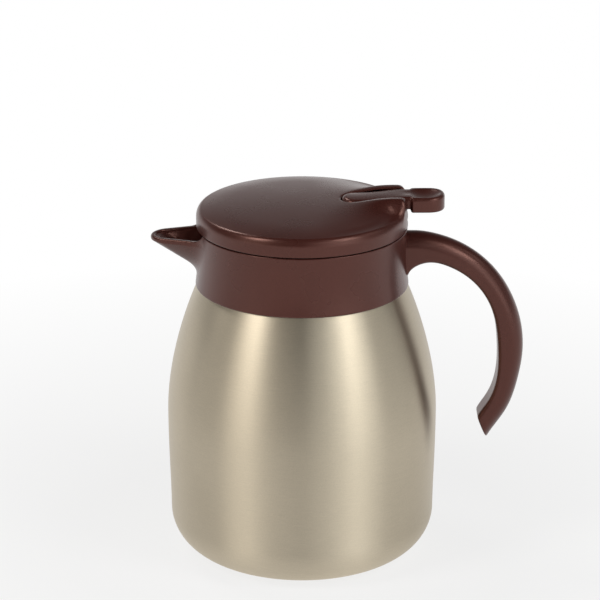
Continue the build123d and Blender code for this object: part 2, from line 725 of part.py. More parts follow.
def cover_screw_places():
    # half a step away from the spout, so that no screw stands in the pouring path
    step = 2 * math.pi / cover_screw_count
    turns = [math.pi + (i + 0.5) * step for i in range(cover_screw_count)]
    return [(cover_screw_circle * math.cos(turn), cover_screw_circle * math.sin(turn))
            for turn in turns]


def make_cover_screws():
    low = deck_bottom - cover_screw_head_height
    half, span = screw_slot_width / 2, 0.6 * cover_screw_head_radius
    screws = []
    for x, y in cover_screw_places():
        head = rod(cover_screw_head_radius, (x, y, low), (x, y, deck_bottom))
        head = fillet(head.edges().group_by(Axis.Z)[0], screw_head_round)
        head = head - block((x - half, x + half), (y - span, y + span),
                            (low - beyond, low + screw_slot_depth))
        shank = rod(cover_screw_radius - screw_clearance, (x, y, deck_bottom - join),
                    (x, y, deck_bottom + cover_screw_length))
        screws.append(head + shank)
    return Compound(children=[screw.solid() for screw in screws])


def make_stopper_seal():
    inner = seal_groove_radius + screw_clearance
    low = seal_groove_height + screw_clearance
    high = seal_groove_height + seal_height - screw_clearance
    lip = mouth_bore - 2 * screw_clearance
    bulge = 0.3 * seal_height
    return turned([(inner, low), (lip, low, bulge), (lip, high, bulge), (inner, high)])


def make_rim_seal():
    low = deck_bottom + rim_seal_rise + screw_clearance
    high = low + rim_seal_height - 2 * screw_clearance
    inner = deck_radius - rim_seal_depth + screw_clearance
    lip = collar_inner_top - seat_gap
    bulge = rim_seal_height / 3
    return turned([(inner, low), (lip, low, bulge), (lip, high, bulge), (inner, high)])


# ---------------------------------------------------------------- lid cover
def lid_turned_body():
    rim = lid_radius - lid_rim_round_width
    valley = rim - lid_valley_width
    low_round = lid_rim_height - lid_rim_round_height
    valley_height = lid_rim_height - lid_valley_depth
    dome_fall = lid_dome_height - valley_height
    low_edge = (lid_radius - lid_edge_bevel, 0, lid_bottom)
    side_foot = (lid_radius, 0, lid_bottom + lid_edge_bevel)
    side_top = (lid_radius, 0, low_round)
    half_valley = lid_valley_width / 2
    edges = [ThreePointArc((0, 0, lid_dome_height), (valley / 2, 0, lid_dome_height - dome_fall / 4),
                           (valley, 0, valley_height)),
             Bezier((valley, 0, valley_height), (valley + half_valley, 0, valley_height),
                    (rim - half_valley, 0, lid_rim_height), (rim, 0, lid_rim_height)),
             Bezier((rim, 0, lid_rim_height),
                    (rim + lid_rim_round_width * 0.72, 0, lid_rim_height),
                    (lid_radius, 0, low_round + lid_rim_round_height * 0.55), side_top),
             Line(side_top, side_foot),
             Line(side_foot, low_edge),
             Line(low_edge, (0, 0, lid_bottom)),
             Line((0, 0, lid_bottom), (0, 0, lid_dome_height))]
    return revolve(make_face(edges), Axis.Z)


def lid_hollow():
    corner_height = lid_rim_height - lid_rim_round_height + 2 * seat_gap
    shelf = lid_inner_radius - lid_shelf_width
    shelf_height = lid_rim_height - lid_valley_depth - lid_wall
    return turned([(0, lid_bottom - beyond), (lid_inner_radius, lid_bottom - beyond),
                   (lid_inner_radius, corner_height, lid_skirt_wall / 3),
                   (shelf, shelf_height, 2 * lid_skirt_wall / 3), (0, lid_ceiling)])


def pod_section(x, top_half_width, height, foot_half_width, foot_height):
    """Bell-shaped cross-section of the swelling around the lever."""
    base = lid_bottom + lid_wall
    spread = foot_half_width - top_half_width
    high_turn = top_half_width + 0.42 * spread
    low_turn = foot_half_width - 0.5 * spread

    def spot(y, z):
        return (x, y, z)

    def flank(side):
        return Bezier(spot(side * top_half_width, height), spot(side * high_turn, height),
                      spot(side * low_turn, foot_height), spot(side * foot_half_width, foot_height))
    return make_face([Line(spot(-foot_half_width, base), spot(-foot_half_width, foot_height)),
                      flank(-1),
                      Line(spot(-top_half_width, height), spot(top_half_width, height)),
                      flank(1),
                      Line(spot(foot_half_width, foot_height), spot(foot_half_width, base)),
                      Line(spot(foot_half_width, base), spot(-foot_half_width, base))])


def make_pod():
    """Swelling around the lever, lofted from its low start to the rear of the lid."""
    top = pod_top_half_width
    halfway_low = (pod_start + pod_front) / 2
    halfway_high = (pod_front + pod_peak) / 2
    low_height = 0.45 * lid_dome_height + 0.55 * pod_front_height - seat_gap
    high_height = 0.5 * (pod_front_height + pod_peak_height) + seat_gap
    rear_height = pod_peak_height - pod_rear_drop
    # place, share of the top's half width, height, foot as a multiple of it, depth below the dome
    rows = ((pod_start, 0.30, lid_dome_height - 0.5 * lid_dome_rise, 0.9, 0.8),
            (halfway_low, 0.62, low_height, 1.5, 1.0),
            (pod_front, 0.92, pod_front_height, 2.1, 1.3),
            (halfway_high, 1.0, high_height, 2.5, 1.6),
            (pod_peak, 1.0, pod_peak_height, 2.6, 1.9),
            (lid_radius + 2 * beyond, 1.0, rear_height, 2.6, 2.1))
    return loft([pod_section(x, share * top, height, spread * top, lid_dome_height - depth * lid_dome_rise)
                 for x, share, height, spread, depth in rows])


def lever_slot():
    """Space for the lever's bar, open to the top, the rear and the inside of the lid."""
    half = lever_half_width + lever_side_clearance
    nose_x = lever_front + lever_half_width
    high = pod_peak_height + lever_thickness
    swing = (lid_radius - pivot_x) * math.sin(math.radians(lever_travel))
    sill = lever_bottom - swing - 2 * seat_gap
    sill_front = pivot_x + pivot_boss - seat_gap
    nose = Pos(nose_x, 0, (lid_bottom + high) / 2) * Cylinder(half, high - lid_bottom)
    inside = block((nose_x, sill_front), (-half, half), (lid_bottom, high))
    rear = block((sill_front - beyond, lid_radius + lever_thickness), (-half, half), (sill, high))
    return nose + inside + rear


def make_lid_cover():
    highest = pod_peak_height + turn_clearance
    envelope = turned([(0, lid_bottom), (lid_radius, lid_bottom),
                       (lid_radius, highest, pod_end_round), (0, highest)])
    cover = lid_turned_body() + (make_pod() & envelope)
    cover = cover - lid_hollow() - lever_slot()
    notch = block((lid_radius - notch_depth, lid_radius + beyond), (-notch_half_width, notch_half_width),
                  (lid_bottom + notch_rise, lid_bottom + notch_rise + notch_height))
    cover = cover - notch
    pilot_top = deck_bottom + cover_screw_length + seat_gap
    for x, y in cover_screw_places():
        post = rod(lid_boss_radius, (x, y, deck_top), (x, y, lid_rim_height - lid_boss_drop))
        pilot = rod(cover_screw_radius, (x, y, deck_top - beyond), (x, y, pilot_top))
        cover = cover + post - pilot
    return cover - pivot_bar(pin_radius, pin_half_length)


# ---------------------------------------------------------------- lever
def pivot_bar(radius, half_length):
    """Round bar along the lever's pivot."""
    return rod(radius, (pivot_x, -half_length, pivot_height), (pivot_x, half_length, pivot_height))


def lever_plan():
    half, pad, corner = lever_half_width, pad_half_width, pad_corner
    nose = lever_front + half
    flare_start = lid_radius + pad_flare_gap
    flare_middle = flare_start + pad_flare / 2
    flare_end = flare_start + pad_flare
    corner_start = pad_end - corner
    corner_fall = corner * (1 - math.sqrt(0.5))
    z = lever_bottom

    def side(sign):
        turn = (pad_end - corner_fall, sign * (pad - corner_fall), z)
        return [Line((nose, sign * half, z), (flare_start, sign * half, z)),
                Bezier((flare_start, sign * half, z), (flare_middle, sign * half, z),
                       (flare_middle, sign * pad, z), (flare_end, sign * pad, z)),
                Line((flare_end, sign * pad, z), (corner_start, sign * pad, z)),
                ThreePointArc((corner_start, sign * pad, z), turn, (pad_end, sign * (pad - corner), z))]
    front = ThreePointArc((nose, -half, z), (lever_front, 0, z), (nose, half, z))
    end = Line((pad_end, pad - corner, z), (pad_end, corner - pad, z))
    return make_face([front] + side(1) + [end] + side(-1))


def lever_bar():
    """Bar and thumb pad with their rounded edges and the shallow dish for the thumb."""
    bar = extrude(lever_plan(), lever_thickness, dir=(0, 0, 1))
    bar = fillet(bar.edges().group_by(Axis.Z)[-1], lever_edge_round)
    bar = fillet(bar.edges().group_by(Axis.Z)[0], lever_low_round)
    dish_x = (lid_radius + pad_flare_gap + pad_end) / 2
    return bar - Pos(dish_x, 0, lever_top + dish_radius - dish_depth) * Sphere(dish_radius)


def make_lever():
    fork_end = -(stem_radius + fork_overrun)
    joint_z = lever_bottom + 2 * join
    front, rear = pivot_x - web_front, pivot_x + web_rear
    arm_rear = pivot_x - arm_end
    web = side_plate([(rear, joint_z), (rear - web_rear / 2, arm_top + web_knee - join),
                      (arm_rear - 2 * arm_end, arm_top), (front - web_knee, arm_top),
                      (front, arm_top + web_knee), (front, joint_z)], web_half_width)
    arm = side_plate([(arm_rear, arm_bottom), (arm_rear, arm_top), (fork_end, arm_top),
                      (fork_end, arm_bottom)], arm_half_width)
    nub_z = arm_top - arm_nub_drop
    nub = rod(arm_nub + arm_nub_drop, (0, -arm_half_width, nub_z), (0, arm_half_width, nub_z))
    fork = block((fork_end - beyond, stem_radius + fork_depth),
                 (-stem_radius - join, stem_radius + join), (arm_bottom - beyond, arm_top + 2 * beyond))
    boss = pivot_bar(pivot_boss, lever_half_width)
    pin_hole = pivot_bar(pin_radius + pin_clearance, lever_half_width + beyond)
    return lever_bar() + boss + web + arm + nub - fork - pin_hole


def side_plate(points, half_width):
    """Plate seen from the side, given as (x, z) corners and a half width."""
    outline = Polyline(*[(x, 0, z) for x, z in points], close=True)
    return extrude(make_face(outline), half_width, dir=(0, 1, 0), both=True)


def make_lever_pin():
    return pivot_bar(pin_radius, pin_half_length - screw_clearance)


# ---------------------------------------------------------------- valve
def make_valve_stem():
    return turned([(0, valve_disc_bottom), (stem_radius, valve_disc_bottom),
                   (stem_radius, stem_head_bottom),
                   (stem_head_radius, stem_head_bottom, 0.2 * stem_head_wall),
                   (stem_head_radius, stem_top, 0.35 * stem_head_wall), (0, stem_top)])


def make_valve_disc():
    boss = valve_boss_radius
    lip = boss + valve_boss_lip
    boss_bottom = valve_seal_bottom - valve_boss_drop
    hub_top = valve_disc_top + valve_hub_height
    bend = 0.3 * valve_disc_wall
    return turned([(0, boss_bottom), (lip, boss_bottom, valve_boss_drop / 3),
                   (lip, valve_seal_bottom - valve_boss_drop / 3), (boss, valve_seal_bottom),
                   (boss, valve_disc_bottom), (valve_disc_radius, valve_disc_bottom),
                   (valve_disc_radius, valve_disc_top, bend), (valve_hub_radius, valve_disc_top, bend),
                   (valve_hub_radius, hub_top, bend), (stem_radius, hub_top),
                   (stem_radius, valve_disc_bottom), (0, valve_disc_bottom)])


def make_valve_seal():
    reach = port_radius + seat_wall + valve_seal_reach
    return tube(valve_boss_radius, reach, valve_seal_bottom, valve_disc_bottom)


def make_valve_spring():
    height = spring_top - spring_bottom - 2 * spring_wire
    coil = Helix(pitch=height / spring_turns, height=height, radius=spring_radius)
    section = Plane(origin=coil @ 0, z_dir=coil % 0) * Circle(spring_wire)
    return Pos(0, 0, spring_bottom + spring_wire) * sweep(section, path=coil, is_frenet=True)


def make_stem_seal():
    return tube(stem_radius + slide_clearance, stem_seal_radius, deck_bottom - stem_seal_wall, deck_bottom)


pieces = {
    "outer_shell": make_outer_shell,
    "inner_liner": make_inner_liner,
    "foot_plate": make_foot_plate,
    "vacuum_seal_bead": make_seal_bead,
    "getter_pellet": make_getter,
    "collar": make_collar,
    "handle": make_handle,
    "handle_screws": make_handle_screws,
    "shoulder_gasket": make_shoulder_gasket,
    "neck_gasket": make_neck_gasket,
    "neck_ring": make_neck_ring,
    "lid_cover": make_lid_cover,
    "stopper_body": make_stopper_body,
    "cover_screws": make_cover_screws,
    "stopper_seal": make_stopper_seal,
    "rim_seal": make_rim_seal,
    "lever": make_lever,
    "lever_pin": make_lever_pin,
    "valve_stem": make_valve_stem,
    "valve_disc": make_valve_disc,
    "valve_seal": make_valve_seal,
    "valve_spring": make_valve_spring,
    "stem_seal": make_stem_seal,
}


if __name__ == "__main__":
    os.makedirs("parts", exist_ok=True)
    for name, make in pieces.items():
        export_step(make(), f"parts/{name}.step")
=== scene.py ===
import json
import math

import bmesh
import bpy
import numpy as np
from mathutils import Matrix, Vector


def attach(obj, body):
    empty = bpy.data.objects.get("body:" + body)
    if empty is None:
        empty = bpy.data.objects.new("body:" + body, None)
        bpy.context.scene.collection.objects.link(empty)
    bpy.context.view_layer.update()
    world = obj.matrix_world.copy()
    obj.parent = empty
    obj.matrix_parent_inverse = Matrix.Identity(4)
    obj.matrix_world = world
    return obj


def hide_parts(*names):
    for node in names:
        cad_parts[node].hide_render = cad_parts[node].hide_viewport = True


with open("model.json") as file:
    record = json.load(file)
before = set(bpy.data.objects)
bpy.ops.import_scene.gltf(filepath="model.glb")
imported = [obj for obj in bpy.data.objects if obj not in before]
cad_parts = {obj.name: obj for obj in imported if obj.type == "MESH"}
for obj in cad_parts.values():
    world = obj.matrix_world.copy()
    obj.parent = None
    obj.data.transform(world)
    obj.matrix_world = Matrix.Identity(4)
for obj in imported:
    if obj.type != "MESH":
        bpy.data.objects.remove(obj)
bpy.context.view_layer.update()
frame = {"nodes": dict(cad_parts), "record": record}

MM = 0.001

# ---------------------------------------------------------------- sizes, in millimetres
# steel shell
BELLY_R, BELLY_Z = 69.0, 74.0
SIDE_R = 68.0                  # radius above the rounded bottom corner
BASE_CORNER = 21.0
SIDE_PULL, BELLY_LOW = 15, 25                  # arms of the bezier curve below the belly
BELLY_HIGH, SHOULDER_PULL = 27, 14             # and of the one above it
SHOULDER_R, SHOULDER_Z = 52.8, 143.0
SHOULDER_LEAN = 24.84          # degrees from upright
SHOULDER_TURN = 6.0
NECK_R, NECK_TOP, NECK_FILLET = 39.9, 152.3, 3.0
SHELL_WALL = 0.8
HEM_R, HEM_Z, HEM_EDGE = 44.0, 3.2, 0.25       # the hem's lower edge is rounded

# collar and spout
COLLAR_FOOT_R, COLLAR_WAIST_R, COLLAR_TOP_R = 54.0, 52.9, 53.2
COLLAR_WAIST_Z, COLLAR_TOP = 155.0, 172.7
COLLAR_BORE = 50.5
COLLAR_FLOOR, COLLAR_FLOOR_WALL = 152.0, 2.5
COLLAR_HOLE = 44.2
COLLAR_BEARING = 46.9
COLLAR_EDGE, COLLAR_CLEARANCE = 0.35, 0.25     # gap between collar and steel, and what the foot adds
COLLAR_FOOT_REACH = 0.4        # how far the foot's rounding goes inwards
COLLAR_FOOT_Z, COLLAR_FOOT_EDGE = 142.5, 0.5   # lower edge and its rounding
WAIST_START = 0.4              # the waisted wall begins this far above the foot
COLLAR_STEP = 1.8              # the bearing under the floor, which rests on the gasket
COLLAR_CORNER = 1.5            # rounding between the bore and the floor
SPOUT_TIP, SPOUT_NOSE = 76.3, 9.3
SPOUT_ROOT_CENTRE, SPOUT_ROOT = 32.9, 19.6
SPOUT_RIM, SPOUT_LIP = 168.2, 2.0
SPOUT_SLOPE = 33.4             # degrees of the keel from level
SPOUT_KEEL, SPOUT_KEEL_ROOT = 3.4, 0.8         # keel's radius at its tip; at its root a share of the rim's
SPOUT_WALL = 2.7
SPOUT_BLEND, SPOUT_BLEND_INSIDE = 5.5, 2.0
RIM_RISE, RIM_CURVE = (12.5, 21.0), 1.7        # degrees from the spout over which the rim climbs to the seam
RIM_EDGE, RIM_EDGE_THIN = 1.15, 0.7            # rounding of the rim, and how much less it is at the seam

# handle
HANDLE_HALF = 8.0
HANDLE_CROWN = 4.4             # how far the outer face falls from its middle to its edge
HANDLE_CROWN_HALF = 7.2
HANDLE_CREST_RISE = 1.3        # the crowned top stands this much higher where it faces up
HANDLE_INNER_ROUND = 3.0
HANDLE_END_ROUND = 1.1
HANDLE_BOW, HANDLE_INNER_BOW = 60.1, 47.0      # reach of the outer and the inner side curve from the collar
HANDLE_TOP = 168.4
HANDLE_SUNK, HANDLE_SUNK_DROP = 0.9, 1.2       # how far the root goes into the collar

# lid
LID_R = 53.3
LID_BOTTOM = 173.2
RIM_TOP, RIM_REACH, RIM_HEIGHT = 182.65, 2.9, 4.5
DOME_TOP, DOME_FALL = 185.85, 1.1      # height in the middle, fall to the dome's shoulder
SHOULDER_START = 34.0          # radius where the dome begins to round over
SHOULDER_POWER = 2.4           # how late it falls
VALLEY_R, VALLEY_HALF, VALLEY_DEPTH = 48.4, 3.4, 0.3     # groove between the dome or swelling and the rim
VALLEY_FADE = (8.0, 38.0)      # it deepens between these x, towards the rear
LID_BORE, LID_BORE_TOP = 50.3, 178.4
LID_FOOT_EDGE = 0.45           # bevel of the skirt's lower edge, cut at its middle by LID_FOOT_MIDDLE
LID_FOOT_MIDDLE = 0.14
CEILING_TOP, CEILING_EDGE, CEILING_R = 182.4, 180.05, 47.3
SLOT_HALF = 8.3
SLOT_NOSE = 27.8               # centre of the slot's round front
SILL_FRONT, SILL = 47.3, 181.6
CREST_FRONT, CHEEK_CREST = 1.2, 3.2            # from the slot's edge to the crest, in front and at the cheek
CREST_WIDENS = (18.0, 40.0)    # it goes from one to the other between these x
CREST_DROP = 0.45              # fall from the crest to the slot's edge
CHEEK_FRONT_Z, CHEEK_TOP_Z = 186.9, 190.55
CHEEK_RISE_X, CHEEK_TOP_X, CHEEK_CURVE = 14.0, 46.5, 1.1
SWELL_START = 2.0              # the swelling begins this far from the axis
SWELL_SIDE = 7.0               # least width of its fall beside the crest
GROOVE_BLEND, SIDE_BLEND = 6.0, 4.0            # widths over which two limits of that fall merge
ENVELOPE_R, ENVELOPE_ROUND = 49.1, 4.2         # the cheeks' rear falls beyond this radius, over this width
ENVELOPE_Z, ENVELOPE_RISE = 186.2, 4.75        # to this height, from this far above it
ENVELOPE_BLEND = 1.6
SLOT_EDGE = 0.6                # rounding of the slot's upper edge
RINGS_START = 47.4             # radius within which the mesh follows the slot and beyond which the rim
RING_SPACING, EDGE_SPACING = 1.35, 0.62        # how columns close up towards the rear, on rings and slot
NOTCH_HALF, NOTCH_DEPTH = 6.5, 1.1
NOTCH_LOW, NOTCH_HIGH, NOTCH_END = 174.4, 178.8, 0.7
NOTCH_SIDE = 0.9               # width of the notch's sloped sides

# lever
LEVER_HALF, LEVER_NOSE = 7.8, 27.8
LEVER_BOTTOM, LEVER_TOP = 183.4, 188.3
LEVER_RISE = 1.45              # the bar's top climbs this much from nose to pad
LEVER_RISES = (26.0, 50.0)     # between these x
LEVER_CROWN, CROWN_POWER = 0.7, 2.2            # fall from the bar's middle to its sides
CROWN_FADES = 34.0             # it begins to fade here and is gone at the pad
LEVER_ROUND, LEVER_LOW_ROUND = 2.2, 0.9
PAD_HALF, PAD_START, PAD_CENTRE, PAD_END = 9.6, 54.0, 62.0, 71.6
PAD_FLARE = 1.5                # length over which the bar widens to the pad
PAD_POWER = 0.86               # below 1 the pad's end is squarer than an ellipse
PAD_ROUND = 1.7
PAD_TIP_RISE = 0.3             # the pad's far end stands this much higher
PAD_DROP, PAD_DROP_RUN = 1.3, 0.8              # the pad's underside hangs below the bar's
DISH_X, DISH_HALF_X, DISH_HALF_Y, DISH_DEPTH = 61.4, 8.2, 8.0, 2.1
DISH_BLEND, DISH_LIP = 0.08, 0.02              # softness of the dish's edge, as shares of its depth

# the lever's works inside the lid
PIVOT_X, PIVOT_Z, PIVOT_BOSS, PIN_BORE = 44.0, 184.0, 3.6, 1.56
WEB_HALF, WEB_FRONT, WEB_REAR = 3.0, 29.0, 46.5
ARM_HALF, ARM_BOTTOM, ARM_TOP, ARM_REAR, ARM_FRONT = 6.2, 170.6, 172.8, 41.0, -5.6
FORK_HALF, FORK_END, NUB = 3.1, 5.0, 1.4
WORKS_ROUND = 0.35

# ---------------------------------------------------------------- settings of floor, lamps and camera
FLOOR_COLOUR = (0.70, 0.70, 0.70)
FLOOR_HALF, FLOOR_Z = 3.0, -0.0002             # metres
FLOOR_WHITE = 0.78             # share of plain white in the floor, seen or mirrored, near the carafe
FLOOR_FADE = (0.12, 0.45)      # metres over which that share grows to all
ROOM_LEVEL, BACKDROP_LEVEL = 0.030, 0.25
BACKDROP_EDGE = (0.0, 0.7)     # how far a direction points behind: room below, backdrop above these
BACKDROP_FALL = 0.6            # how fast the backdrop's light fades upwards
BACKDROP_TOP = 3.0             # how fast its mirrored white ends above the table
# banks of lamps: name, elevation, (width, height), colour, and (azimuth, power) of each strip
LIGHT_BANKS = (
    ("right", 20, (0.27, 0.90), (0.96, 0.99, 1.0),
     ((15, 0.45), (30, 0.95), (45, 1.55), (60, 1.1), (75, 0.25), (90, 0.3), (105, 0.1))),
    ("left", 20, (0.27, 0.90), (1.0, 0.965, 0.90),
     ((-15, 0.12), (-30, 0.25), (-45, 0.68), (-60, 0.8), (-75, 0.15), (-90, 0.15), (-120, 0.1))),
    ("upper", 45, (0.30, 0.45), (1.0, 0.98, 0.95),
     ((-55, 3.1), (55, 2.0), (95, 0.3))),
    ("rear", 50, (0.40, 0.30), (1.0, 0.98, 0.95), ((-135, 2.4),)))
LAMP_DISTANCE, LAMP_TARGET_Z = 1.1, 0.1        # metres
CAMERA_SENSOR, CAMERA_LENS, CAMERA_SHIFT, CAMERA_PITCH = 36.0, 163.1, -0.0034, 19.96
CAMERA_PLACE = (0, -1.3, 0.6047)               # metres


# ---------------------------------------------------------------- mesh helpers
def bezier(p0, p1, p2, p3, count):
    """Points of a cubic curve in (radius, height), without its last point."""
    t = np.linspace(0, 1, count, endpoint=False)[:, None]
    p0, p1, p2, p3 = (np.array(p, float) for p in (p0, p1, p2, p3))
    return (1 - t) ** 3 * p0 + 3 * (1 - t) ** 2 * t * p1 + 3 * (1 - t) * t * t * p2 + t ** 3 * p3


def arc(centre, radius, start, end, count):
    """Points of an arc in (radius, height) between two angles in degrees, without its last point."""
    a = np.radians(np.linspace(start, end, count, endpoint=False))
    return np.column_stack((centre[0] + radius * np.cos(a), centre[1] + radius * np.sin(a)))


def smooth(x, low, high):
    """0 below low, 1 above high, with a smooth step between."""
    t = np.clip((x - low) / (high - low), 0, 1)
    return t * t * (3 - 2 * t)


def soft_min(a, b, width):
    h = np.clip(1 - np.abs(a - b) / width, 0, 1)
    return np.minimum(a, b) - h * h * width / 4


def soft_max(a, b, width):
    return -soft_min(-a, -b, width)


def grid_faces(rows, columns, wrap_rows=False, wrap_columns=False, start=0):
    """Quads of a grid of rows x columns vertices that begins at vertex start."""
    faces = []
    for i in range(rows if wrap_rows else rows - 1):
        for j in range(columns if wrap_columns else columns - 1):
            a = start + i * columns + j
            b = start + i * columns + (j + 1) % columns
            c = start + ((i + 1) % rows) * columns + (j + 1) % columns
            d = start + ((i + 1) % rows) * columns + j
            faces.append((a, b, c, d))
    return faces


def make_piece(name, points, faces, body, material, slot, replaced=None, sharp=38.0):
    """Mesh object from points in millimetres, merged, outward-facing and smooth except at sharp edges."""
    mesh = bpy.data.meshes.new(name)
    mesh.from_pydata([tuple(p) for p in np.asarray(points, float) * MM], [], faces)
    bm = bmesh.new()
    bm.from_mesh(mesh)
    bmesh.ops.remove_doubles(bm, verts=bm.verts, dist=2e-6)
    bmesh.ops.dissolve_degenerate(bm, edges=bm.edges, dist=1e-6)
    bmesh.ops.recalc_face_normals(bm, faces=bm.faces)
    bm.to_mesh(mesh)
    bm.free()
    mesh.shade_smooth()
    mesh.set_sharp_from_angle(angle=math.radians(sharp))
    piece = bpy.data.objects.new(name, mesh)
    bpy.context.scene.collection.objects.link(piece)
    mesh.materials.append(material)
    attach(piece, body)
    if replaced:
        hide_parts(replaced)
    return piece


def lathe(name, outline, columns, *rest, **more):
    """Closed ring turned about the axis from a closed (radius, height) outline."""
    angles = np.linspace(0, 2 * math.pi, columns, endpoint=False)
    r, z = outline[:, 0][:, None], outline[:, 1][:, None]
    points = np.stack((r * np.cos(angles), r * np.sin(angles), z + 0 * angles), -1).reshape(-1, 3)
    faces = grid_faces(len(outline), columns, wrap_rows=True, wrap_columns=True)
    make_piece(name, points, faces, *rest, **more)


# ---------------------------------------------------------------- materials
NOISE_SPAN = (0.3, 0.7)        # noise values between which a ramp goes from its low to its high end
STEEL_RELIEF = 0.00002         # depth of the steel's lines, metres


def new_material(name):
    material = bpy.data.materials.new(name)
    material.use_nodes = True
    nodes, links = material.node_tree.nodes, material.node_tree.links
    shader = nodes["Principled BSDF"]
    place = nodes.new("ShaderNodeTexCoord")
    return material, nodes, links, shader, place.outputs["Object"]


def math_node(nodes, links, operation, *values):
    """Result of one operation on sockets and numbers."""
    node = nodes.new("ShaderNodeMath")
    node.operation = operation
    for socket, value in zip(node.inputs, values):
        if isinstance(value, (int, float)):
            socket.default_value = value
        else:
            links.new(value, socket)
    return node.outputs[0]


def noise(nodes, links, place, scale, detail=2.0, stretch=(1, 1, 1)):
    """Noise texture over object space, in features per metre."""
    mapping = nodes.new("ShaderNodeMapping")
    mapping.inputs["Scale"].default_value = stretch
    links.new(place, mapping.inputs["Vector"])
    texture = nodes.new("ShaderNodeTexNoise")
    texture.inputs["Scale"].default_value = scale
    texture.inputs["Detail"].default_value = detail
    links.new(mapping.outputs["Vector"], texture.inputs["Vector"])
    return texture.outputs["Fac"]


def blend_of(nodes, links, first, share, second):
    """Sum of two textures, the first with its share and the second with the rest."""
    rest = math_node(nodes, links, "MULTIPLY", second, 1 - share)
    return math_node(nodes, links, "MULTIPLY_ADD", first, share, rest)


def ramp(nodes, links, value, low, high, at=(0.0, 1.0)):
    """Colour ramp between two colours (or grey levels)."""
    node = nodes.new("ShaderNodeValToRGB")
    for element, place, colour in zip(node.color_ramp.elements, at, (low, high)):
        element.position = place
        grey = not hasattr(colour, "__len__")
        element.color = (colour, colour, colour, 1) if grey else (*colour, 1)
    links.new(value, node.inputs["Fac"])
    return node.outputs["Color"]


def add_bump(nodes, links, shader, heights):
    """Chains bumps of (height output, strength, distance in metres)."""
    normal = None
    for height, strength, distance in heights:
        bump = nodes.new("ShaderNodeBump")
        bump.inputs["Strength"].default_value = strength
        bump.inputs["Distance"].default_value = distance
        links.new(height, bump.inputs["Height"])
        if normal is not None:
            links.new(normal, bump.inputs["Normal"])
        normal = bump.outputs["Normal"]
    links.new(normal, shader.inputs["Normal"])


def plastic(name, dark, light, rough_low, rough_high, grain=1900.0, depth=0.00006,
            level=0.5, tint=(1.0, 1.0, 1.0)):
    """Moulded plastic with a fine spark-eroded grain."""
    material, nodes, links, shader, place = new_material(name)
    grains = noise(nodes, links, place, grain, 2.0)
    clouds = noise(nodes, links, place, 38.0, 3.0)
    mixed = blend_of(nodes, links, grains, 0.55, clouds)
    links.new(ramp(nodes, links, mixed, dark, light, NOISE_SPAN), shader.inputs["Base Color"])
    links.new(ramp(nodes, links, clouds, rough_low, rough_high, NOISE_SPAN), shader.inputs["Roughness"])
    add_bump(nodes, links, shader, [(grains, 0.35, depth)])
    shader.inputs["Specular IOR Level"].default_value = level
    shader.inputs["Specular Tint"].default_value = (*tint, 1)
    return material


def steel(name, dark, light, rough_low, rough_high, anisotropy, grain=(1, 1, 34), scale=150.0):
    """Satin steel: fine lines that run round the axis, with a little unevenness in tone."""
    material, nodes, links, shader, place = new_material(name)
    lines = noise(nodes, links, place, scale, 3.0, grain)
    speckle = noise(nodes, links, place, 1500.0, 2.0)
    clouds = noise(nodes, links, place, 20.0, 2.0)
    mixed = blend_of(nodes, links, lines, 0.5, speckle)
    links.new(ramp(nodes, links, mixed, dark, light, NOISE_SPAN), shader.inputs["Base Color"])
    links.new(ramp(nodes, links, clouds, rough_low, rough_high, NOISE_SPAN), shader.inputs["Roughness"])
    shader.inputs["Metallic"].default_value = 1.0
    if anisotropy:
        tangent = nodes.new("ShaderNodeTangent")
        tangent.direction_type = "RADIAL"
        tangent.axis = "Z"
        links.new(tangent.outputs["Tangent"], shader.inputs["Tangent"])
        shader.inputs["Anisotropic"].default_value = anisotropy
        shader.inputs["Anisotropic Rotation"].default_value = 0.25
    add_bump(nodes, links, shader, [(lines, 0.25, STEEL_RELIEF), (speckle, 0.2, STEEL_RELIEF)])
    return material


def silicone(name, dark, light):
    """Soft seal: matt, faintly see-through."""
    material, nodes, links, shader, place = new_material(name)
    clouds = noise(nodes, links, place, 120.0, 3.0)
    grains = noise(nodes, links, place, 2600.0, 1.0)
    links.new(ramp(nodes, links, clouds, dark, light, NOISE_SPAN), shader.inputs["Base Color"])
    links.new(ramp(nodes, links, grains, 0.5, 0.65, NOISE_SPAN), shader.inputs["Roughness"])
    shader.inputs["Subsurface Weight"].default_value = 0.15
    shader.inputs["Subsurface Radius"].default_value = (0.002, 0.002, 0.0018)
    add_bump(nodes, links, shader, [(grains, 0.2, 0.00003)])
    return material


BROWN = plastic("brown_plastic", (0.042, 0.0108, 0.0083), (0.063, 0.0176, 0.0137), 0.25, 0.31,
                level=0.75, tint=(1.0, 0.55, 0.47))
INNER = plastic("inner_plastic", (0.040, 0.013, 0.011), (0.056, 0.020, 0.017), 0.34, 0.42, 1200.0, 0.00002)
CHAMPAGNE = steel("champagne_steel", (0.57, 0.50, 0.385), (0.65, 0.57, 0.44), 0.42, 0.46, 0.9)
PLAIN = steel("plain_steel", (0.56, 0.55, 0.53), (0.70, 0.69, 0.67), 0.36, 0.42, 0.8)
BRIGHT = steel("bright_steel", (0.60, 0.60, 0.59), (0.76, 0.76, 0.75), 0.16, 0.24, 0.0, (1, 1, 1), 900.0)
SILICONE = silicone("silicone", (0.50, 0.485, 0.45), (0.62, 0.60, 0.56))
GLASS_DROP = plastic("seal_glass", (0.05, 0.045, 0.035), (0.10, 0.09, 0.075), 0.10, 0.16, 700.0, 0.00001)
GETTER = plastic("getter_alloy", (0.16, 0.155, 0.15), (0.30, 0.29, 0.28), 0.6, 0.75, 1500.0, 0.00008)

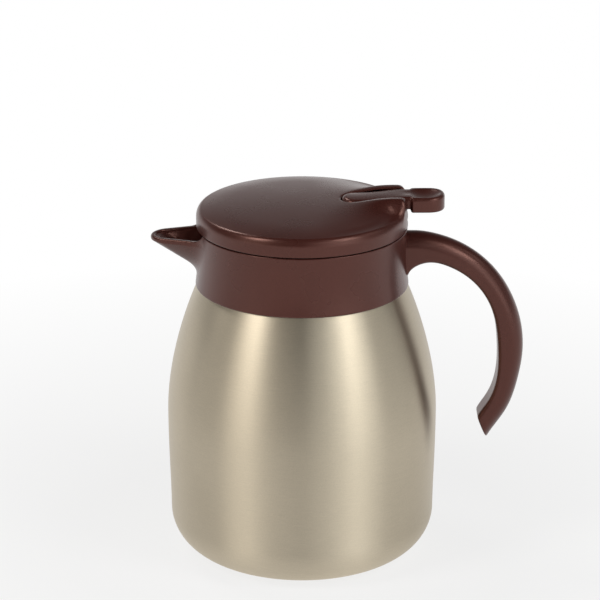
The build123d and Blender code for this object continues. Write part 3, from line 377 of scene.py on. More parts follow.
SLOT_MATERIALS = {"brown_plastic": BROWN, "inner_plastic": INNER, "champagne_steel": CHAMPAGNE,
                  "plain_steel": PLAIN, "bright_steel": BRIGHT, "silicone": SILICONE,
                  "seal_glass": GLASS_DROP, "getter_alloy": GETTER}


def dress_cad_nodes():
    """Every carried-over node gets the material of its slot, and smooth shading with sharp edges."""
    slots = {part["node"]: part["material_slot"] for part in frame["record"]["subparts"]}
    for name, node in frame["nodes"].items():
        node.data.materials.clear()
        node.data.materials.append(SLOT_MATERIALS[slots[name]])
        node.data.shade_smooth()
        node.data.set_sharp_from_angle(angle=math.radians(30.0))


# ---------------------------------------------------------------- steel shell
def vessel_outline(inset, bottom, corner, turn, neck_r, neck_fillet):
    """(radius, height) from the foot to the top of the neck, with an inset for the inner face."""
    lean = math.radians(SHOULDER_LEAN)
    side, belly = SIDE_R - inset, BELLY_R - inset
    end = np.array((SHOULDER_R - inset * math.cos(lean), SHOULDER_Z - inset * math.sin(lean)))
    along = np.array((-math.sin(lean), math.cos(lean)))
    centre = end - np.array((math.cos(lean), math.sin(lean))) * turn
    crown = centre[1] + turn
    return np.vstack((
        arc((side - corner, bottom + corner), corner, -90, 0, 24),
        bezier((side, bottom + corner), (side, bottom + corner + SIDE_PULL), (belly, BELLY_Z - BELLY_LOW),
               (belly, BELLY_Z), 30),
        bezier((belly, BELLY_Z), (belly, BELLY_Z + BELLY_HIGH), end - along * SHOULDER_PULL, end, 44),
        arc(centre, turn, SHOULDER_LEAN, 90, 10),
        [(centre[0], crown)],
        arc((neck_r + neck_fillet, crown + neck_fillet), neck_fillet, -90, -180, 8),
        [(neck_r, crown + neck_fillet), (neck_r, NECK_TOP)]))


def make_shell():
    outside = vessel_outline(0, 0, BASE_CORNER, SHOULDER_TURN, NECK_R, NECK_FILLET)
    inside = vessel_outline(SHELL_WALL, SHELL_WALL, BASE_CORNER - SHELL_WALL, SHOULDER_TURN - SHELL_WALL,
                            NECK_R - SHELL_WALL, NECK_FILLET + SHELL_WALL)
    hem = np.array([(HEM_R + SHELL_WALL, SHELL_WALL), (HEM_R + SHELL_WALL, HEM_Z), (HEM_R, HEM_Z),
                    (HEM_R, HEM_EDGE), (HEM_R + HEM_EDGE, 0)])
    outline = np.vstack((outside, inside[::-1], hem))
    lathe("outer_shell_skin", outline, 240, "vessel", CHAMPAGNE, "champagne_steel",
          replaced="outer_shell")


# ---------------------------------------------------------------- collar and spout
def circle_through(a, b, c):
    """Centre and radius of the circle through three (radius, height) points."""
    (ax, ay), (bx, by), (cx, cy) = a, b, c
    d = 2 * (ax * (by - cy) + bx * (cy - ay) + cx * (ay - by))
    a2, b2, c2 = ax * ax + ay * ay, bx * bx + by * by, cx * cx + cy * cy
    x = (a2 * (by - cy) + b2 * (cy - ay) + c2 * (ay - by)) / d
    y = (a2 * (cx - bx) + b2 * (ax - cx) + c2 * (bx - ax)) / d
    return x, y, math.hypot(ax - x, ay - y)


WAIST = circle_through((COLLAR_FOOT_R, COLLAR_FOOT_Z + WAIST_START), (COLLAR_WAIST_R, COLLAR_WAIST_Z),
                       (COLLAR_TOP_R, COLLAR_TOP))


def collar_radius(z):
    """Outer radius of the waisted collar."""
    x, y, r = WAIST
    return x - np.sqrt(r * r - (np.clip(z, COLLAR_FOOT_Z + WAIST_START, COLLAR_TOP) - y) ** 2)


def spout_distance(q, y, z, inset):
    """Plan distance to the spout's form at a height; q runs from the axis towards the spout."""
    slope = math.tan(math.radians(SPOUT_SLOPE))
    rim = SPOUT_RIM - SPOUT_LIP if inset == 0 else SPOUT_RIM
    keel_z = SPOUT_RIM - SPOUT_LIP - (SPOUT_TIP - COLLAR_WAIST_R) * slope
    keel_z += inset / math.cos(math.radians(SPOUT_SLOPE))
    tip, nose, root = SPOUT_TIP - inset, SPOUT_NOSE - inset, SPOUT_ROOT - inset
    keel, keel_root = SPOUT_KEEL - inset / 2, SPOUT_KEEL_ROOT * root
    keel_tip = tip - (rim - keel_z) / slope
    share = np.minimum((z - keel_z) / (rim - keel_z), 1.0)
    r_nose = np.maximum(keel + (nose - keel) * share, 0.3)
    r_root = np.maximum(keel_root + (root - keel_root) * share, 0.6)
    c_nose = keel_tip - keel + (tip - nose - keel_tip + keel) * share
    reach = np.maximum(c_nose - SPOUT_ROOT_CENTRE, 1.0)
    b = np.clip((r_root - r_nose) / reach, -0.99, 0.99)
    a = np.sqrt(1 - b * b)
    px, py = np.abs(y), q - SPOUT_ROOT_CENTRE
    k = -b * px + a * py
    near_root = np.hypot(px, py) - r_root
    near_nose = np.hypot(px, py - reach) - r_nose
    between = a * px + b * py - r_root
    return np.where(k < 0, near_root, np.where(k > a * reach, near_nose, between))


def ray_reach(angle, z, wall_radius, inset, blend):
    """Distance from the axis to the blended surface of wall and spout, along an angle from the spout."""
    low, high = wall_radius - 1.0, wall_radius * 0 + SPOUT_TIP + 2.0
    for _ in range(40):
        middle = (low + high) / 2
        spout = spout_distance(middle * np.cos(angle), middle * np.sin(angle), z, inset)
        outside = soft_min(middle - wall_radius, spout, blend) > 0
        high = np.where(outside, middle, high)
        low = np.where(outside, low, middle)
    return (low + high) / 2


def collar_angles():
    """Angles round the collar, measured from the spout, dense where the spout is."""
    fine = np.arange(-24.0, 24.01, 0.4)
    return np.radians(np.concatenate((fine, np.arange(27.0, 333.5, 3.0))))


def collar_profile(angle):
    """Rows of (radius, height) round the collar's closed section, one column per angle."""
    degrees = np.degrees(np.where(angle > math.pi, angle - 2 * math.pi, angle))
    rise = np.clip((np.abs(degrees) - RIM_RISE[0]) / (RIM_RISE[1] - RIM_RISE[0]), 0, 1)
    top = SPOUT_RIM + (COLLAR_TOP - SPOUT_RIM) * rise ** RIM_CURVE
    edge = RIM_EDGE - RIM_EDGE_THIN * smooth(np.abs(degrees), 8.0, RIM_RISE[1])
    foot_z = COLLAR_FOOT_Z + COLLAR_FOOT_EDGE
    rows = []
    for share in np.linspace(0, 1, 52):
        z = foot_z + (top - edge - foot_z) * share
        rows.append((ray_reach(angle, z, collar_radius(z), 0, SPOUT_BLEND), z))
    outer = rows[-1][0]
    inner = ray_reach(angle, top, COLLAR_BORE + 0 * top, SPOUT_WALL, SPOUT_BLEND_INSIDE)
    for turn in np.radians((15, 30, 45, 60, 75, 90)):
        rows.append((outer - edge * (1 - np.cos(turn)), top - edge + edge * np.sin(turn)))
    for turn in np.radians((90, 75, 60, 45, 30, 15)):
        rows.append((inner + edge * (1 - np.cos(turn)), top - edge + edge * np.sin(turn)))
    for share in np.linspace(0, 1, 36):
        z = top - edge + (COLLAR_FLOOR + COLLAR_CORNER - top + edge) * share
        rows.append((ray_reach(angle, z, COLLAR_BORE + 0 * z, SPOUT_WALL, SPOUT_BLEND_INSIDE), z))

    # the rest is the same at every angle: bore, floor, bearing, inner wall and foot
    section = [(COLLAR_BORE - COLLAR_CORNER * (1 - math.cos(turn)),
                COLLAR_FLOOR + COLLAR_CORNER * (1 - math.sin(turn))) for turn in np.radians((30, 60, 90))]
    floor_under = COLLAR_FLOOR - COLLAR_FLOOR_WALL
    inner_low = SHOULDER_R + COLLAR_EDGE + COLLAR_CLEARANCE
    section += [(COLLAR_HOLE, COLLAR_FLOOR), (COLLAR_HOLE, floor_under - COLLAR_STEP),
                (COLLAR_BEARING, floor_under - COLLAR_STEP), (COLLAR_BEARING, floor_under),
                (COLLAR_BORE - 0.8, floor_under), (COLLAR_BORE + 0.4, floor_under - COLLAR_CORNER),
                (inner_low, COLLAR_FOOT_Z + 0.2), (inner_low + 0.15, COLLAR_FOOT_Z)]
    low = collar_radius(foot_z) - COLLAR_FOOT_REACH
    section += [(low + COLLAR_FOOT_REACH * math.sin(turn),
                 COLLAR_FOOT_Z + COLLAR_FOOT_EDGE * (1 - math.cos(turn))) for turn in np.radians((0, 30, 60))]
    return rows + [(r + 0 * angle, z + 0 * angle) for r, z in section]


def make_collar():
    angle = collar_angles()
    rows = collar_profile(angle)
    points = [np.column_stack((-r * np.cos(angle), r * np.sin(angle), z)) for r, z in rows]
    faces = grid_faces(len(rows), len(angle), wrap_rows=True, wrap_columns=True)
    make_piece("collar_skin", np.vstack(points), faces, "vessel", BROWN, "brown_plastic",
               replaced="collar", sharp=50.0)


# ---------------------------------------------------------------- handle
def spline(points, start, end, count):
    """Cubic spline through (x, z) points with given end directions."""
    points = np.asarray(points, float)
    steps = np.linalg.norm(np.diff(points, axis=0), axis=1)
    knots = np.concatenate(((0,), np.cumsum(steps)))
    n = len(points)
    matrix, right = np.zeros((n, n)), np.zeros((n, 2))
    matrix[0, 0] = matrix[-1, -1] = 1
    right[0] = np.array(start) / np.hypot(*start)
    right[-1] = np.array(end) / np.hypot(*end)
    for i in range(1, n - 1):
        a, b = steps[i - 1], steps[i]
        matrix[i, i - 1:i + 2] = (b, 2 * (a + b), a)
        right[i] = 3 * (b * (points[i] - points[i - 1]) / a + a * (points[i + 1] - points[i]) / b)
    slopes = np.linalg.solve(matrix, right)
    places = np.linspace(0, knots[-1], count)
    index = np.clip(np.searchsorted(knots, places, side="right") - 1, 0, n - 2)
    h = steps[index][:, None]
    t = ((places - knots[index]) / steps[index])[:, None]
    return ((2 * t ** 3 - 3 * t ** 2 + 1) * points[index] + (t ** 3 - 2 * t ** 2 + t) * h * slopes[index]
            + (-2 * t ** 3 + 3 * t ** 2) * points[index + 1] + (t ** 3 - t ** 2) * h * slopes[index + 1])


def handle_curves(count):
    """Outer and inner side curves from the collar to the free end; the crest is raised where it faces up."""
    outer = [(COLLAR_WAIST_R + share * HANDLE_BOW, HANDLE_TOP - drop) for share, drop in
             ((0.06, 0.0), (0.24, 1.5), (0.51, 8.0), (0.732, 18.7), (0.915, 36.0), (1.0, 61.0),
              (0.967, 77.0), (0.872, 94.7), (0.705, 110.4))]
    inner = [(COLLAR_WAIST_R + share * HANDLE_INNER_BOW, HANDLE_TOP - drop) for share, drop in
             ((0.79, 97.6), (0.905, 88.9), (0.978, 79.8), (1.0, 60.0), (0.893, 35.6),
              (0.686, 22.7), (0.453, 16.0), (0.262, 13.8), (0.118, 15.3), (0.012, 20.4))]
    outer_curve = spline(outer, (1, 0), (-0.55, -1), count)
    inner_curve = spline(inner, (0.5, 1), (-0.25, -1), count)[::-1]
    along = np.gradient(outer_curve, axis=0)
    facing_up = np.maximum(along[:, 0], 0) / np.linalg.norm(along, axis=1)
    outer_curve[:, 1] += HANDLE_CREST_RISE * facing_up
    return outer_curve, inner_curve


def handle_section(thickness):
    """Half section as (offset inwards from the outer curve, y), from the crest to the inner face."""
    half, crown, reach = HANDLE_HALF, HANDLE_CROWN, HANDLE_CROWN_HALF
    radius = (reach ** 2 + crown ** 2) / (2 * crown)
    lean = math.asin(reach / radius)
    turns = np.linspace(0, lean, 9)
    dome = [(radius * (1 - math.cos(t)), radius * math.sin(t)) for t in turns]
    edge = (half - reach) / (1 - math.sin(lean))
    centre = (crown + edge * math.cos(lean), half - edge)
    corner = [(centre[0] - edge * math.cos(t), centre[1] + edge * math.sin(t))
              for t in np.linspace(lean, math.pi / 2, 7)[1:]]
    round_in = min(HANDLE_INNER_ROUND, 0.5 * (thickness - centre[0]))
    side = [(centre[0] + (thickness - round_in - centre[0]) * s, half) for s in (0.2, 0.4, 0.6, 0.8, 1.0)]
    back = [(thickness - round_in + round_in * math.sin(t), half - round_in * (1 - math.cos(t)))
            for t in np.linspace(0, math.pi / 2, 8)[1:]]
    face = [(thickness, (half - round_in) * s) for s in (0.66, 0.33, 0.0)]
    return dome + corner + side + back + face


def make_handle():
    outer, inner = handle_curves(110)
    root = COLLAR_WAIST_R - HANDLE_SUNK
    outer = np.vstack(([(root, outer[0][1])], outer))
    inner = np.vstack(([(root, inner[0][1] - HANDLE_SUNK_DROP)], inner))
    rings = []
    last = len(outer) - 1
    # the free end is closed by shrinking copies of the last section, pulled back for a rounded edge
    ends = [(last, HANDLE_END_ROUND * (1 - math.sin(t)), HANDLE_END_ROUND * (1 - math.cos(t)))
            for t in np.radians((0, 20, 40, 60, 80, 90))]
    stations = [(i, 0.0, 0.0) for i in range(last)] + ends
    for i, back, shrink in stations:
        a, b = outer[i], inner[i]
        if i == last:
            pull = (outer[last - 1] - outer[last]) / np.linalg.norm(outer[last - 1] - outer[last])
            a, b = a + pull * back, b + pull * back
        along = (b - a) / np.linalg.norm(b - a)
        thickness = np.linalg.norm(b - a)
        section = np.array(handle_section(thickness))
        if shrink:
            middle = thickness / 2
            section[:, 0] = middle + (section[:, 0] - middle) * (1 - shrink / middle)
            section[:, 1] *= 1 - shrink / HANDLE_HALF
        ring = [(a[0] + along[0] * s, y, a[1] + along[1] * s) for s, y in section]
        rings.append(ring + [(x, -y, z) for x, y, z in ring[-2:0:-1]])
    columns = len(rings[0])
    points = [p for ring in rings for p in ring]
    faces = grid_faces(len(rings), columns, wrap_columns=True)
    faces += [tuple(range(columns)), tuple(range(len(points) - columns, len(points)))]
    make_piece("handle_skin", points, faces, "vessel", BROWN, "brown_plastic",
               replaced="handle", sharp=60.0)


# ---------------------------------------------------------------- lid
def dome_height(r, x):
    """Lid top without the swelling: low dome that rounds over to the rim, with a groove at the rear."""
    rim_r = LID_R - RIM_REACH
    shoulder = np.clip((r - SHOULDER_START) / (rim_r - SHOULDER_START), 0, 1)
    fall = DOME_FALL * np.minimum(r / SHOULDER_START, 1) ** 2
    slope = 2 * DOME_FALL / SHOULDER_START * (rim_r - SHOULDER_START)
    rest = DOME_TOP - DOME_FALL - RIM_TOP
    fall = fall + slope * shoulder + (rest - slope) * shoulder ** SHOULDER_POWER
    groove = np.clip(1 - ((r - VALLEY_R) / VALLEY_HALF) ** 2, 0, 1) ** 2
    dome = DOME_TOP - fall - VALLEY_DEPTH * groove * smooth(x, *VALLEY_FADE)
    t = np.clip((r - rim_r) / RIM_REACH, 0, 1)
    return dome - RIM_HEIGHT * (1 - np.sqrt(1 - t * t))


def slot_distance(x, y):
    """Distance from the edge of the lever's slot, outside it."""
    return np.hypot(np.minimum(x - SLOT_NOSE, 0), y) - SLOT_HALF


def swelling(x, y):
    """Height of the swelling round the lever: crest beside the slot, smooth fall to the groove."""
    r = np.hypot(x, y)
    away = slot_distance(x, y)
    climb = smooth(x, CHEEK_RISE_X, CHEEK_TOP_X) ** CHEEK_CURVE
    crest_z = CHEEK_FRONT_Z + (CHEEK_TOP_Z - CHEEK_FRONT_Z) * climb
    crest = CREST_FRONT + (CHEEK_CREST - CREST_FRONT) * smooth(x, *CREST_WIDENS)
    to_groove = soft_max(VALLEY_R - r, 0 * r, GROOVE_BLEND) + np.maximum(away, 0)
    spread = soft_max(to_groove, crest + SWELL_SIDE, SIDE_BLEND)
    t = np.clip((away - crest) / (spread - crest), 0, 1)
    ground = dome_height(r, x)
    rise = np.maximum(crest_z - ground, 0) * smooth(x, SWELL_START, SLOT_NOSE - SLOT_HALF)
    inward = np.clip((crest - away) / crest, 0, 1)
    return ground + rise * (1 - smooth(t, 0, 1)) - CREST_DROP * inward ** 2


def envelope(r):
    """Rounded limit of the swelling over the lid's rear rim."""
    t = np.clip((r - ENVELOPE_R) / ENVELOPE_ROUND, 0, 1)
    return ENVELOPE_Z + ENVELOPE_RISE * np.sqrt(np.maximum(1 - t * t, 0))


def lid_height(x, y):
    height = soft_min(swelling(x, y), envelope(np.hypot(x, y)), ENVELOPE_BLEND)
    inside = np.clip(1 - np.maximum(slot_distance(x, y), 0) / SLOT_EDGE, 0, 1)
    return height - SLOT_EDGE * (1 - np.sqrt(np.maximum(1 - inside ** 2, 0)))


def lid_plan(half_columns, rows):
    """Plan points of the half lid beside the slot: rows from the slot's edge to the rim, columns from
    the rear wall of the slot round to the front."""
    straight = SILL_FRONT - SLOT_NOSE
    nose = SLOT_HALF * math.pi / 2
    rim_r = LID_R - RIM_REACH
    u = np.linspace(0, 1, half_columns) ** RING_SPACING
    run = u ** EDGE_SPACING * (straight + nose)
    turn = np.clip((run - straight) / SLOT_HALF, 0, math.pi / 2)
    edge_x = np.where(run < straight, SILL_FRONT - run, SLOT_NOSE - SLOT_HALF * np.sin(turn))
    edge_y = np.where(run < straight, SLOT_HALF, SLOT_HALF * np.cos(turn))
    plan = []
    for t in rows:
        if t <= 1.0:                   # from the slot to the first ring
            first = math.asin(SLOT_HALF / RINGS_START)
            a = first + (math.pi - first) * u
            ring_x, ring_y = RINGS_START * np.cos(a), RINGS_START * np.sin(a)
            plan.append((edge_x + (ring_x - edge_x) * t, edge_y + (ring_y - edge_y) * t))
        else:                          # rings out to the rim, where t - 1 is the share of the way
            share = t - 1.0
            r = (RINGS_START + (rim_r - RINGS_START) * share * 2 if share < 0.5
                 else rim_r + RIM_REACH * math.sin((share - 0.5) * math.pi))
            first = math.asin(SLOT_HALF / r)
            a = first + (math.pi - first) * u
            plan.append((r * np.cos(a), r * np.sin(a)))
    return plan


def lid_rows():
    """Shares of the way from the slot to the rings (0 to 1) and on to the rim (1 to 2)."""
    near = np.concatenate((np.linspace(0, 0.03, 7, endpoint=False),
                           np.linspace(0.03, 0.30, 16, endpoint=False),
                           np.linspace(0.30, 1.0, 22, endpoint=False)))
    far = np.concatenate((np.linspace(1.0, 1.5, 9, endpoint=False), np.linspace(1.5, 2.0, 13)))
    return np.concatenate((near, far))


def ceiling(r):
    return CEILING_TOP + (CEILING_EDGE - CEILING_TOP) * np.minimum(r / CEILING_R, 1.0)


def skirt_rows(x, y, z):
    """Points below the rim: outer skirt, bottom edge, inner skirt, at the rim's plan points."""
    a = np.arctan2(y, x)
    in_notch = np.where(x > 0, smooth(NOTCH_HALF - np.abs(y), 0.0, NOTCH_SIDE), 0.0)
    rows = []
    low = LID_BOTTOM + LID_FOOT_EDGE
    for share in np.linspace(0, 1, 18)[1:]:
        height = z + (low - z) * share
        depth = NOTCH_DEPTH * in_notch * smooth(height, NOTCH_LOW, NOTCH_LOW + NOTCH_END)
        depth = depth * (1 - smooth(height, NOTCH_HIGH - NOTCH_END, NOTCH_HIGH))
        rows.append((LID_R - depth, height))
    below = ((LID_R - LID_FOOT_MIDDLE, LID_BOTTOM + LID_FOOT_MIDDLE), (LID_R - LID_FOOT_EDGE, LID_BOTTOM),
             (LID_BORE, LID_BOTTOM), (LID_BORE, LID_BORE_TOP), (CEILING_R, CEILING_EDGE))
    rows += [(r + 0 * z, height + 0 * z) for r, height in below]
    return [np.column_stack((r * np.cos(a), r * np.sin(a), h)) for r, h in rows]


def make_lid():
    half_columns = 120
    plan = lid_plan(half_columns, lid_rows())
    sides = []
    for sign in (1, -1):
        top = [np.column_stack((x, sign * y, lid_height(x, y))) for x, y in plan]
        x, y = plan[-1]
        below = skirt_rows(x, sign * y, lid_height(x, y))
        under = [np.column_stack((x, sign * y, ceiling(np.hypot(x, y)))) for x, y in plan[::-1]
                 if np.hypot(x, y).max() < CEILING_R - 0.2]
        sides.append(top + below + under)
    ring_rows = len(sides[0])
    columns = 2 * half_columns - 1
    points = [np.vstack((left, right[::-1][1:])) for left, right in zip(*sides)]
    faces = grid_faces(ring_rows, columns, wrap_rows=True)
    points = np.vstack(points)

    # the strip behind the slot, between the cheeks: the sill over the rear rim, same outline as the ends
    across = np.linspace(SLOT_HALF, -SLOT_HALF, 25)
    strip = []
    for x, y in plan:
        x0, r0 = x[0], math.hypot(x[0], y[0])
        strip_x = np.sqrt(np.maximum(r0 ** 2 - across ** 2, 0)) if r0 > CEILING_R + 1.5 else across * 0 + x0
        z = np.minimum(dome_height(np.hypot(strip_x, across), strip_x), SILL)
        strip.append(np.column_stack((strip_x, across, z)))
    sill_top = strip[-1]
    strip += skirt_rows(sill_top[:, 0], sill_top[:, 1], sill_top[:, 2])
    end = math.sqrt(CEILING_R ** 2 - SLOT_HALF ** 2)
    strip.append(np.column_stack((across * 0 + end, across, across * 0 + CEILING_EDGE)))
    faces += grid_faces(len(strip), len(across), wrap_rows=True, start=len(points))
    make_piece("lid_cover_skin", np.vstack([points] + strip), faces, "stopper", BROWN, "brown_plastic",
               replaced="lid_cover", sharp=42.0)


# ---------------------------------------------------------------- lever
def lever_outline(count):
    """Half plan outline of lever and thumb pad, from the nose to the pad's end."""
    nose = arc((LEVER_NOSE, 0), LEVER_HALF, 180, 90, count)
    bar_x = np.linspace(LEVER_NOSE, PAD_START, count // 2, endpoint=False)
    flare_x = np.linspace(PAD_START, PAD_START + PAD_FLARE, count // 2, endpoint=False)
    flare_y = LEVER_HALF + (PAD_HALF - LEVER_HALF) * smooth(flare_x, PAD_START, PAD_START + PAD_FLARE)
    a = np.radians(np.linspace(90, 0, count + 1))
    pad_x = PAD_CENTRE + (PAD_END - PAD_CENTRE) * np.cos(a) ** PAD_POWER
    pad_y = PAD_HALF * np.sin(a) ** PAD_POWER
    straight_x = np.linspace(PAD_START + PAD_FLARE, PAD_CENTRE, 8, endpoint=False)
    x = np.concatenate((nose[:, 0], bar_x, flare_x, straight_x, pad_x))
    y = np.concatenate((nose[:, 1], bar_x * 0 + LEVER_HALF, flare_y, straight_x * 0 + PAD_HALF, pad_y))
    return x, y


def lever_top(x, y, q):
    """Height of the lever's top at a plan point that lies q inside its outline."""
    pad = smooth(x, PAD_START - 2.0, PAD_START + 5.0)
    top = LEVER_TOP + LEVER_RISE * smooth(x, *LEVER_RISES) + PAD_TIP_RISE * smooth(x, PAD_CENTRE, PAD_END)
    crown = LEVER_CROWN * (1 - smooth(x, CROWN_FADES, PAD_START)) * (np.abs(y) / LEVER_HALF) ** CROWN_POWER
    radius = LEVER_ROUND + (PAD_ROUND - LEVER_ROUND) * pad
    t = np.clip(1 - q / radius, 0, 1)
    edge = radius * (1 - np.sqrt(np.maximum(1 - t * t, 0)))
    rho = ((x - DISH_X) / DISH_HALF_X) ** 2 + (y / DISH_HALF_Y) ** 2
    dish = DISH_DEPTH * (1 - soft_min(rho, rho * 0 + 1.0, DISH_BLEND) - DISH_LIP)
    return top - crown - edge - np.maximum(dish, 0)


def lever_underside(x):
    return LEVER_BOTTOM - PAD_DROP * smooth(x, PAD_START, PAD_START + PAD_DROP_RUN)


def make_lever():
    half_x, half_y = lever_outline(18)
    x = np.concatenate((half_x, half_x[-2:0:-1]))
    y = np.concatenate((half_y, -half_y[-2:0:-1]))
    spine_x = np.clip(x, LEVER_NOSE, PAD_CENTRE)
    reach = np.hypot(x - spine_x, y)
    rows = []
    for share in 1 - (1 - np.linspace(0, 1, 34)) ** 1.8:       # denser near the outline
        px, py = spine_x + (x - spine_x) * share, y * share
        rows.append(np.column_stack((px, py, lever_top(px, py, reach * (1 - share)))))
    side_top = rows[-1][:, 2]
    side_low = lever_underside(x) + LEVER_LOW_ROUND
    for share in np.linspace(0, 1, 6)[1:]:
        rows.append(np.column_stack((x, y, side_top + (side_low - side_top) * share)))
    for turn in np.radians((22, 45, 67, 90)):
        inset = LEVER_LOW_ROUND * (1 - math.cos(turn)) / np.maximum(reach, 1e-6)
        px, py = x - (x - spine_x) * inset, y - y * inset
        rows.append(np.column_stack((px, py, lever_underside(px) + LEVER_LOW_ROUND * (1 - math.sin(turn)))))
    for share in (0.6, 0.3, 0.0):
        px = spine_x + (x - spine_x) * share
        rows.append(np.column_stack((px, y * share, lever_underside(px))))
    faces = grid_faces(len(rows), len(x), wrap_columns=True)
    make_piece("lever_skin", np.vstack(rows), faces, "lever", BROWN, "brown_plastic",
               replaced="lever", sharp=50.0)


def plate(name, outline, low, high, lift):
    """Closed plate from a plan outline, raised from low to high along one axis by the lift function."""
    count = len(outline)
    points = [lift(a, b, end) for end in (low, high) for a, b in outline]
    faces = [(i, (i + 1) % count, count + (i + 1) % count, count + i) for i in range(count)]
    faces += [tuple(range(count)), tuple(range(count, 2 * count))]
    piece = make_piece(name, points, faces, "lever", BROWN, "brown_plastic", sharp=30.0)
    bevel = piece.modifiers.new("rounded edges", "BEVEL")
    bevel.width = WORKS_ROUND * MM
    bevel.segments = 3
    bevel.limit_method = "ANGLE"


def make_lever_works():
    """Web, arm with its fork and the pivot's boss, below the lever's bar."""
    top = LEVER_BOTTOM + 0.4
    web = [(WEB_REAR, top), (WEB_REAR - 1.25, ARM_TOP + 4.5), (ARM_REAR - 6, ARM_TOP - 0.3),
           (WEB_FRONT - 5, ARM_TOP - 0.3), (WEB_FRONT, ARM_TOP + 5), (WEB_FRONT, top)]
    plate("lever_web", web, -WEB_HALF, WEB_HALF, lambda a, b, end: (a, end, b))
    arm = [(ARM_REAR, -ARM_HALF), (ARM_REAR, ARM_HALF), (ARM_FRONT, ARM_HALF), (ARM_FRONT, FORK_HALF),
           (FORK_END, FORK_HALF), (FORK_END, -FORK_HALF), (ARM_FRONT, -FORK_HALF), (ARM_FRONT, -ARM_HALF)]
    plate("lever_arm", arm, ARM_BOTTOM, ARM_TOP, lambda a, b, end: (a, b, end))
    nub = [(x, ARM_TOP - 0.4 + z) for x, z in arc((0, 0), NUB, 0, 360, 20)]
    for side, word in ((-1, "left"), (1, "right")):
        ends = sorted((side * FORK_HALF, side * ARM_HALF))
        plate(f"lever_nub_{word}", nub, *ends, lambda a, b, end: (a, end, b))
    rings = [(PIN_BORE, -LEVER_HALF), (PIVOT_BOSS, -LEVER_HALF), (PIVOT_BOSS, LEVER_HALF),
             (PIN_BORE, LEVER_HALF)]
    turns = np.radians(np.arange(0, 360, 10))
    points = [(PIVOT_X + r * math.cos(t), y, PIVOT_Z + r * math.sin(t)) for r, y in rings for t in turns]
    faces = grid_faces(4, len(turns), wrap_rows=True, wrap_columns=True)
    make_piece("lever_boss", points, faces, "lever", BROWN, "brown_plastic")


dress_cad_nodes()
make_shell()
make_collar()
make_handle()
make_lid()
make_lever()
make_lever_works()


# ---------------------------------------------------------------- floor, light and camera
def white_share(nodes, links, seen, mirrored):
    """Share of plain white: as the camera sees it, and as steel, plastic and glass mirror it."""
    path = nodes.new("ShaderNodeLightPath")
    bent = math_node(nodes, links, "MAXIMUM", path.outputs["Is Glossy Ray"],
                     path.outputs["Is Transmission Ray"])
    bent = math_node(nodes, links, "MULTIPLY", bent, mirrored)
    direct = math_node(nodes, links, "MULTIPLY", path.outputs["Is Camera Ray"], seen)
    return math_node(nodes, links, "MAXIMUM", direct, bent)


def make_floor():
    """Pale floor that the camera sees white all round and with the carafe's shadow near it."""
    half = FLOOR_HALF
    mesh = bpy.data.meshes.new("floor")
    corners = [(-half, -half, 0), (half, -half, 0), (half, half, 0), (-half, half, 0)]
    mesh.from_pydata(corners, [], [(0, 1, 2, 3)])
    floor = bpy.data.objects.new("floor", mesh)
    bpy.context.scene.collection.objects.link(floor)
    floor.location.z = FLOOR_Z
    material, nodes, links, shader, place = new_material("floor")
    shader.inputs["Base Color"].default_value = (*FLOOR_COLOUR, 1)
    shader.inputs["Roughness"].default_value = 0.9
    white = nodes.new("ShaderNodeEmission")
    length = nodes.new("ShaderNodeVectorMath")
    length.operation = "LENGTH"
    links.new(place, length.inputs[0])
    # share of plain white over the lit floor: most near the carafe, all further out
    share = ramp(nodes, links, length.outputs["Value"], FLOOR_WHITE, 1.0, FLOOR_FADE)
    mix = nodes.new("ShaderNodeMixShader")
    links.new(white_share(nodes, links, share, share), mix.inputs["Fac"])
    links.new(shader.outputs["BSDF"], mix.inputs[1])
    links.new(white.outputs["Emission"], mix.inputs[2])
    links.new(mix.outputs["Shader"], nodes["Material Output"].inputs["Surface"])
    mesh.materials.append(material)


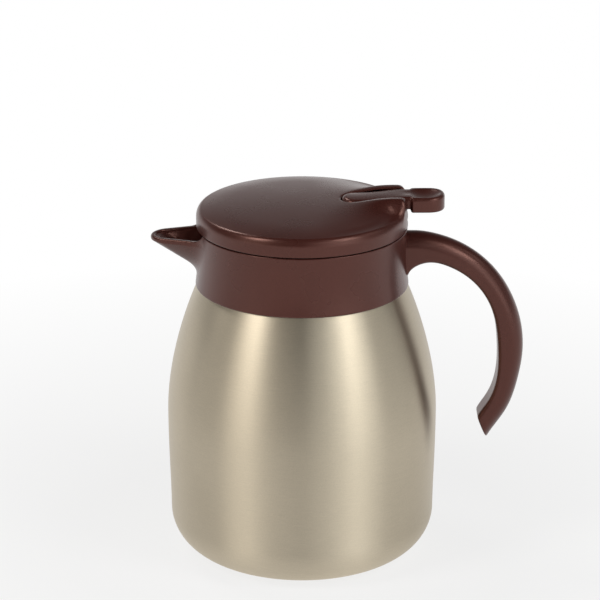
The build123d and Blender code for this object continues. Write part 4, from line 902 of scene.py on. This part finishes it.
def make_world():
    """White for the camera; a pale backdrop behind the carafe and a dark room before and above it."""
    world = bpy.data.worlds.new("world")
    bpy.context.scene.world = world
    world.use_nodes = True
    nodes, links = world.node_tree.nodes, world.node_tree.links
    direction = nodes.new("ShaderNodeTexCoord").outputs["Generated"]
    parts = nodes.new("ShaderNodeSeparateXYZ")
    links.new(direction, parts.inputs["Vector"])
    # how much a direction points to the backdrop: fully behind, not at all in front or far above
    upper, lower = (math_node(nodes, links, "MULTIPLY_ADD", parts.outputs["Z"], -fall, parts.outputs["Y"])
                    for fall in (BACKDROP_FALL, BACKDROP_TOP))
    light = nodes["Background"]
    links.new(ramp(nodes, links, upper, ROOM_LEVEL, BACKDROP_LEVEL, BACKDROP_EDGE), light.inputs["Color"])
    backdrop = nodes.new("ShaderNodeBackground")
    backdrop.inputs["Color"].default_value = (1, 1, 1, 1)
    behind = ramp(nodes, links, lower, 0.0, 1.0, BACKDROP_EDGE)
    mix = nodes.new("ShaderNodeMixShader")
    links.new(white_share(nodes, links, 1.0, behind), mix.inputs["Fac"])
    links.new(light.outputs["Background"], mix.inputs[1])
    links.new(backdrop.outputs["Background"], mix.inputs[2])
    links.new(mix.outputs["Shader"], nodes["World Output"].inputs["Surface"])


def add_softbox(name, azimuth, elevation, width, height, power, colour):
    """Area lamp aimed at the carafe; azimuth 0 is the camera's side, positive towards +X."""
    a, e = math.radians(azimuth), math.radians(elevation)
    away = Vector((math.sin(a) * math.cos(e), -math.cos(a) * math.cos(e), math.sin(e)))
    data = bpy.data.lights.new(name, "AREA")
    data.shape = "RECTANGLE"
    data.size, data.size_y = width, height
    data.energy = power
    data.color = colour
    lamp = bpy.data.objects.new(name, data)
    bpy.context.scene.collection.objects.link(lamp)
    lamp.location = Vector((0, 0, LAMP_TARGET_Z)) + away * LAMP_DISTANCE
    lamp.rotation_euler = away.to_track_quat("Z", "Y").to_euler()


def make_camera():
    """Camera of the picture: about 20 degrees above the table, 1.3 m from the axis."""
    data = bpy.data.cameras.new("camera")
    camera = bpy.data.objects.new("camera", data)
    bpy.context.scene.collection.objects.link(camera)
    data.sensor_width = CAMERA_SENSOR
    data.lens = CAMERA_LENS
    data.shift_x = CAMERA_SHIFT
    camera.location = CAMERA_PLACE
    camera.rotation_euler = (math.radians(90 - CAMERA_PITCH), 0, 0)
    bpy.context.scene.camera = camera


make_floor()
make_world()
for word, elevation, size, colour, strips in LIGHT_BANKS:
    for number, (azimuth, power) in enumerate(strips):
        add_softbox(f"softbox_{word}_{number}", azimuth, elevation, *size, power, colour)
make_camera()
bpy.context.scene.view_settings.view_transform = "Standard"
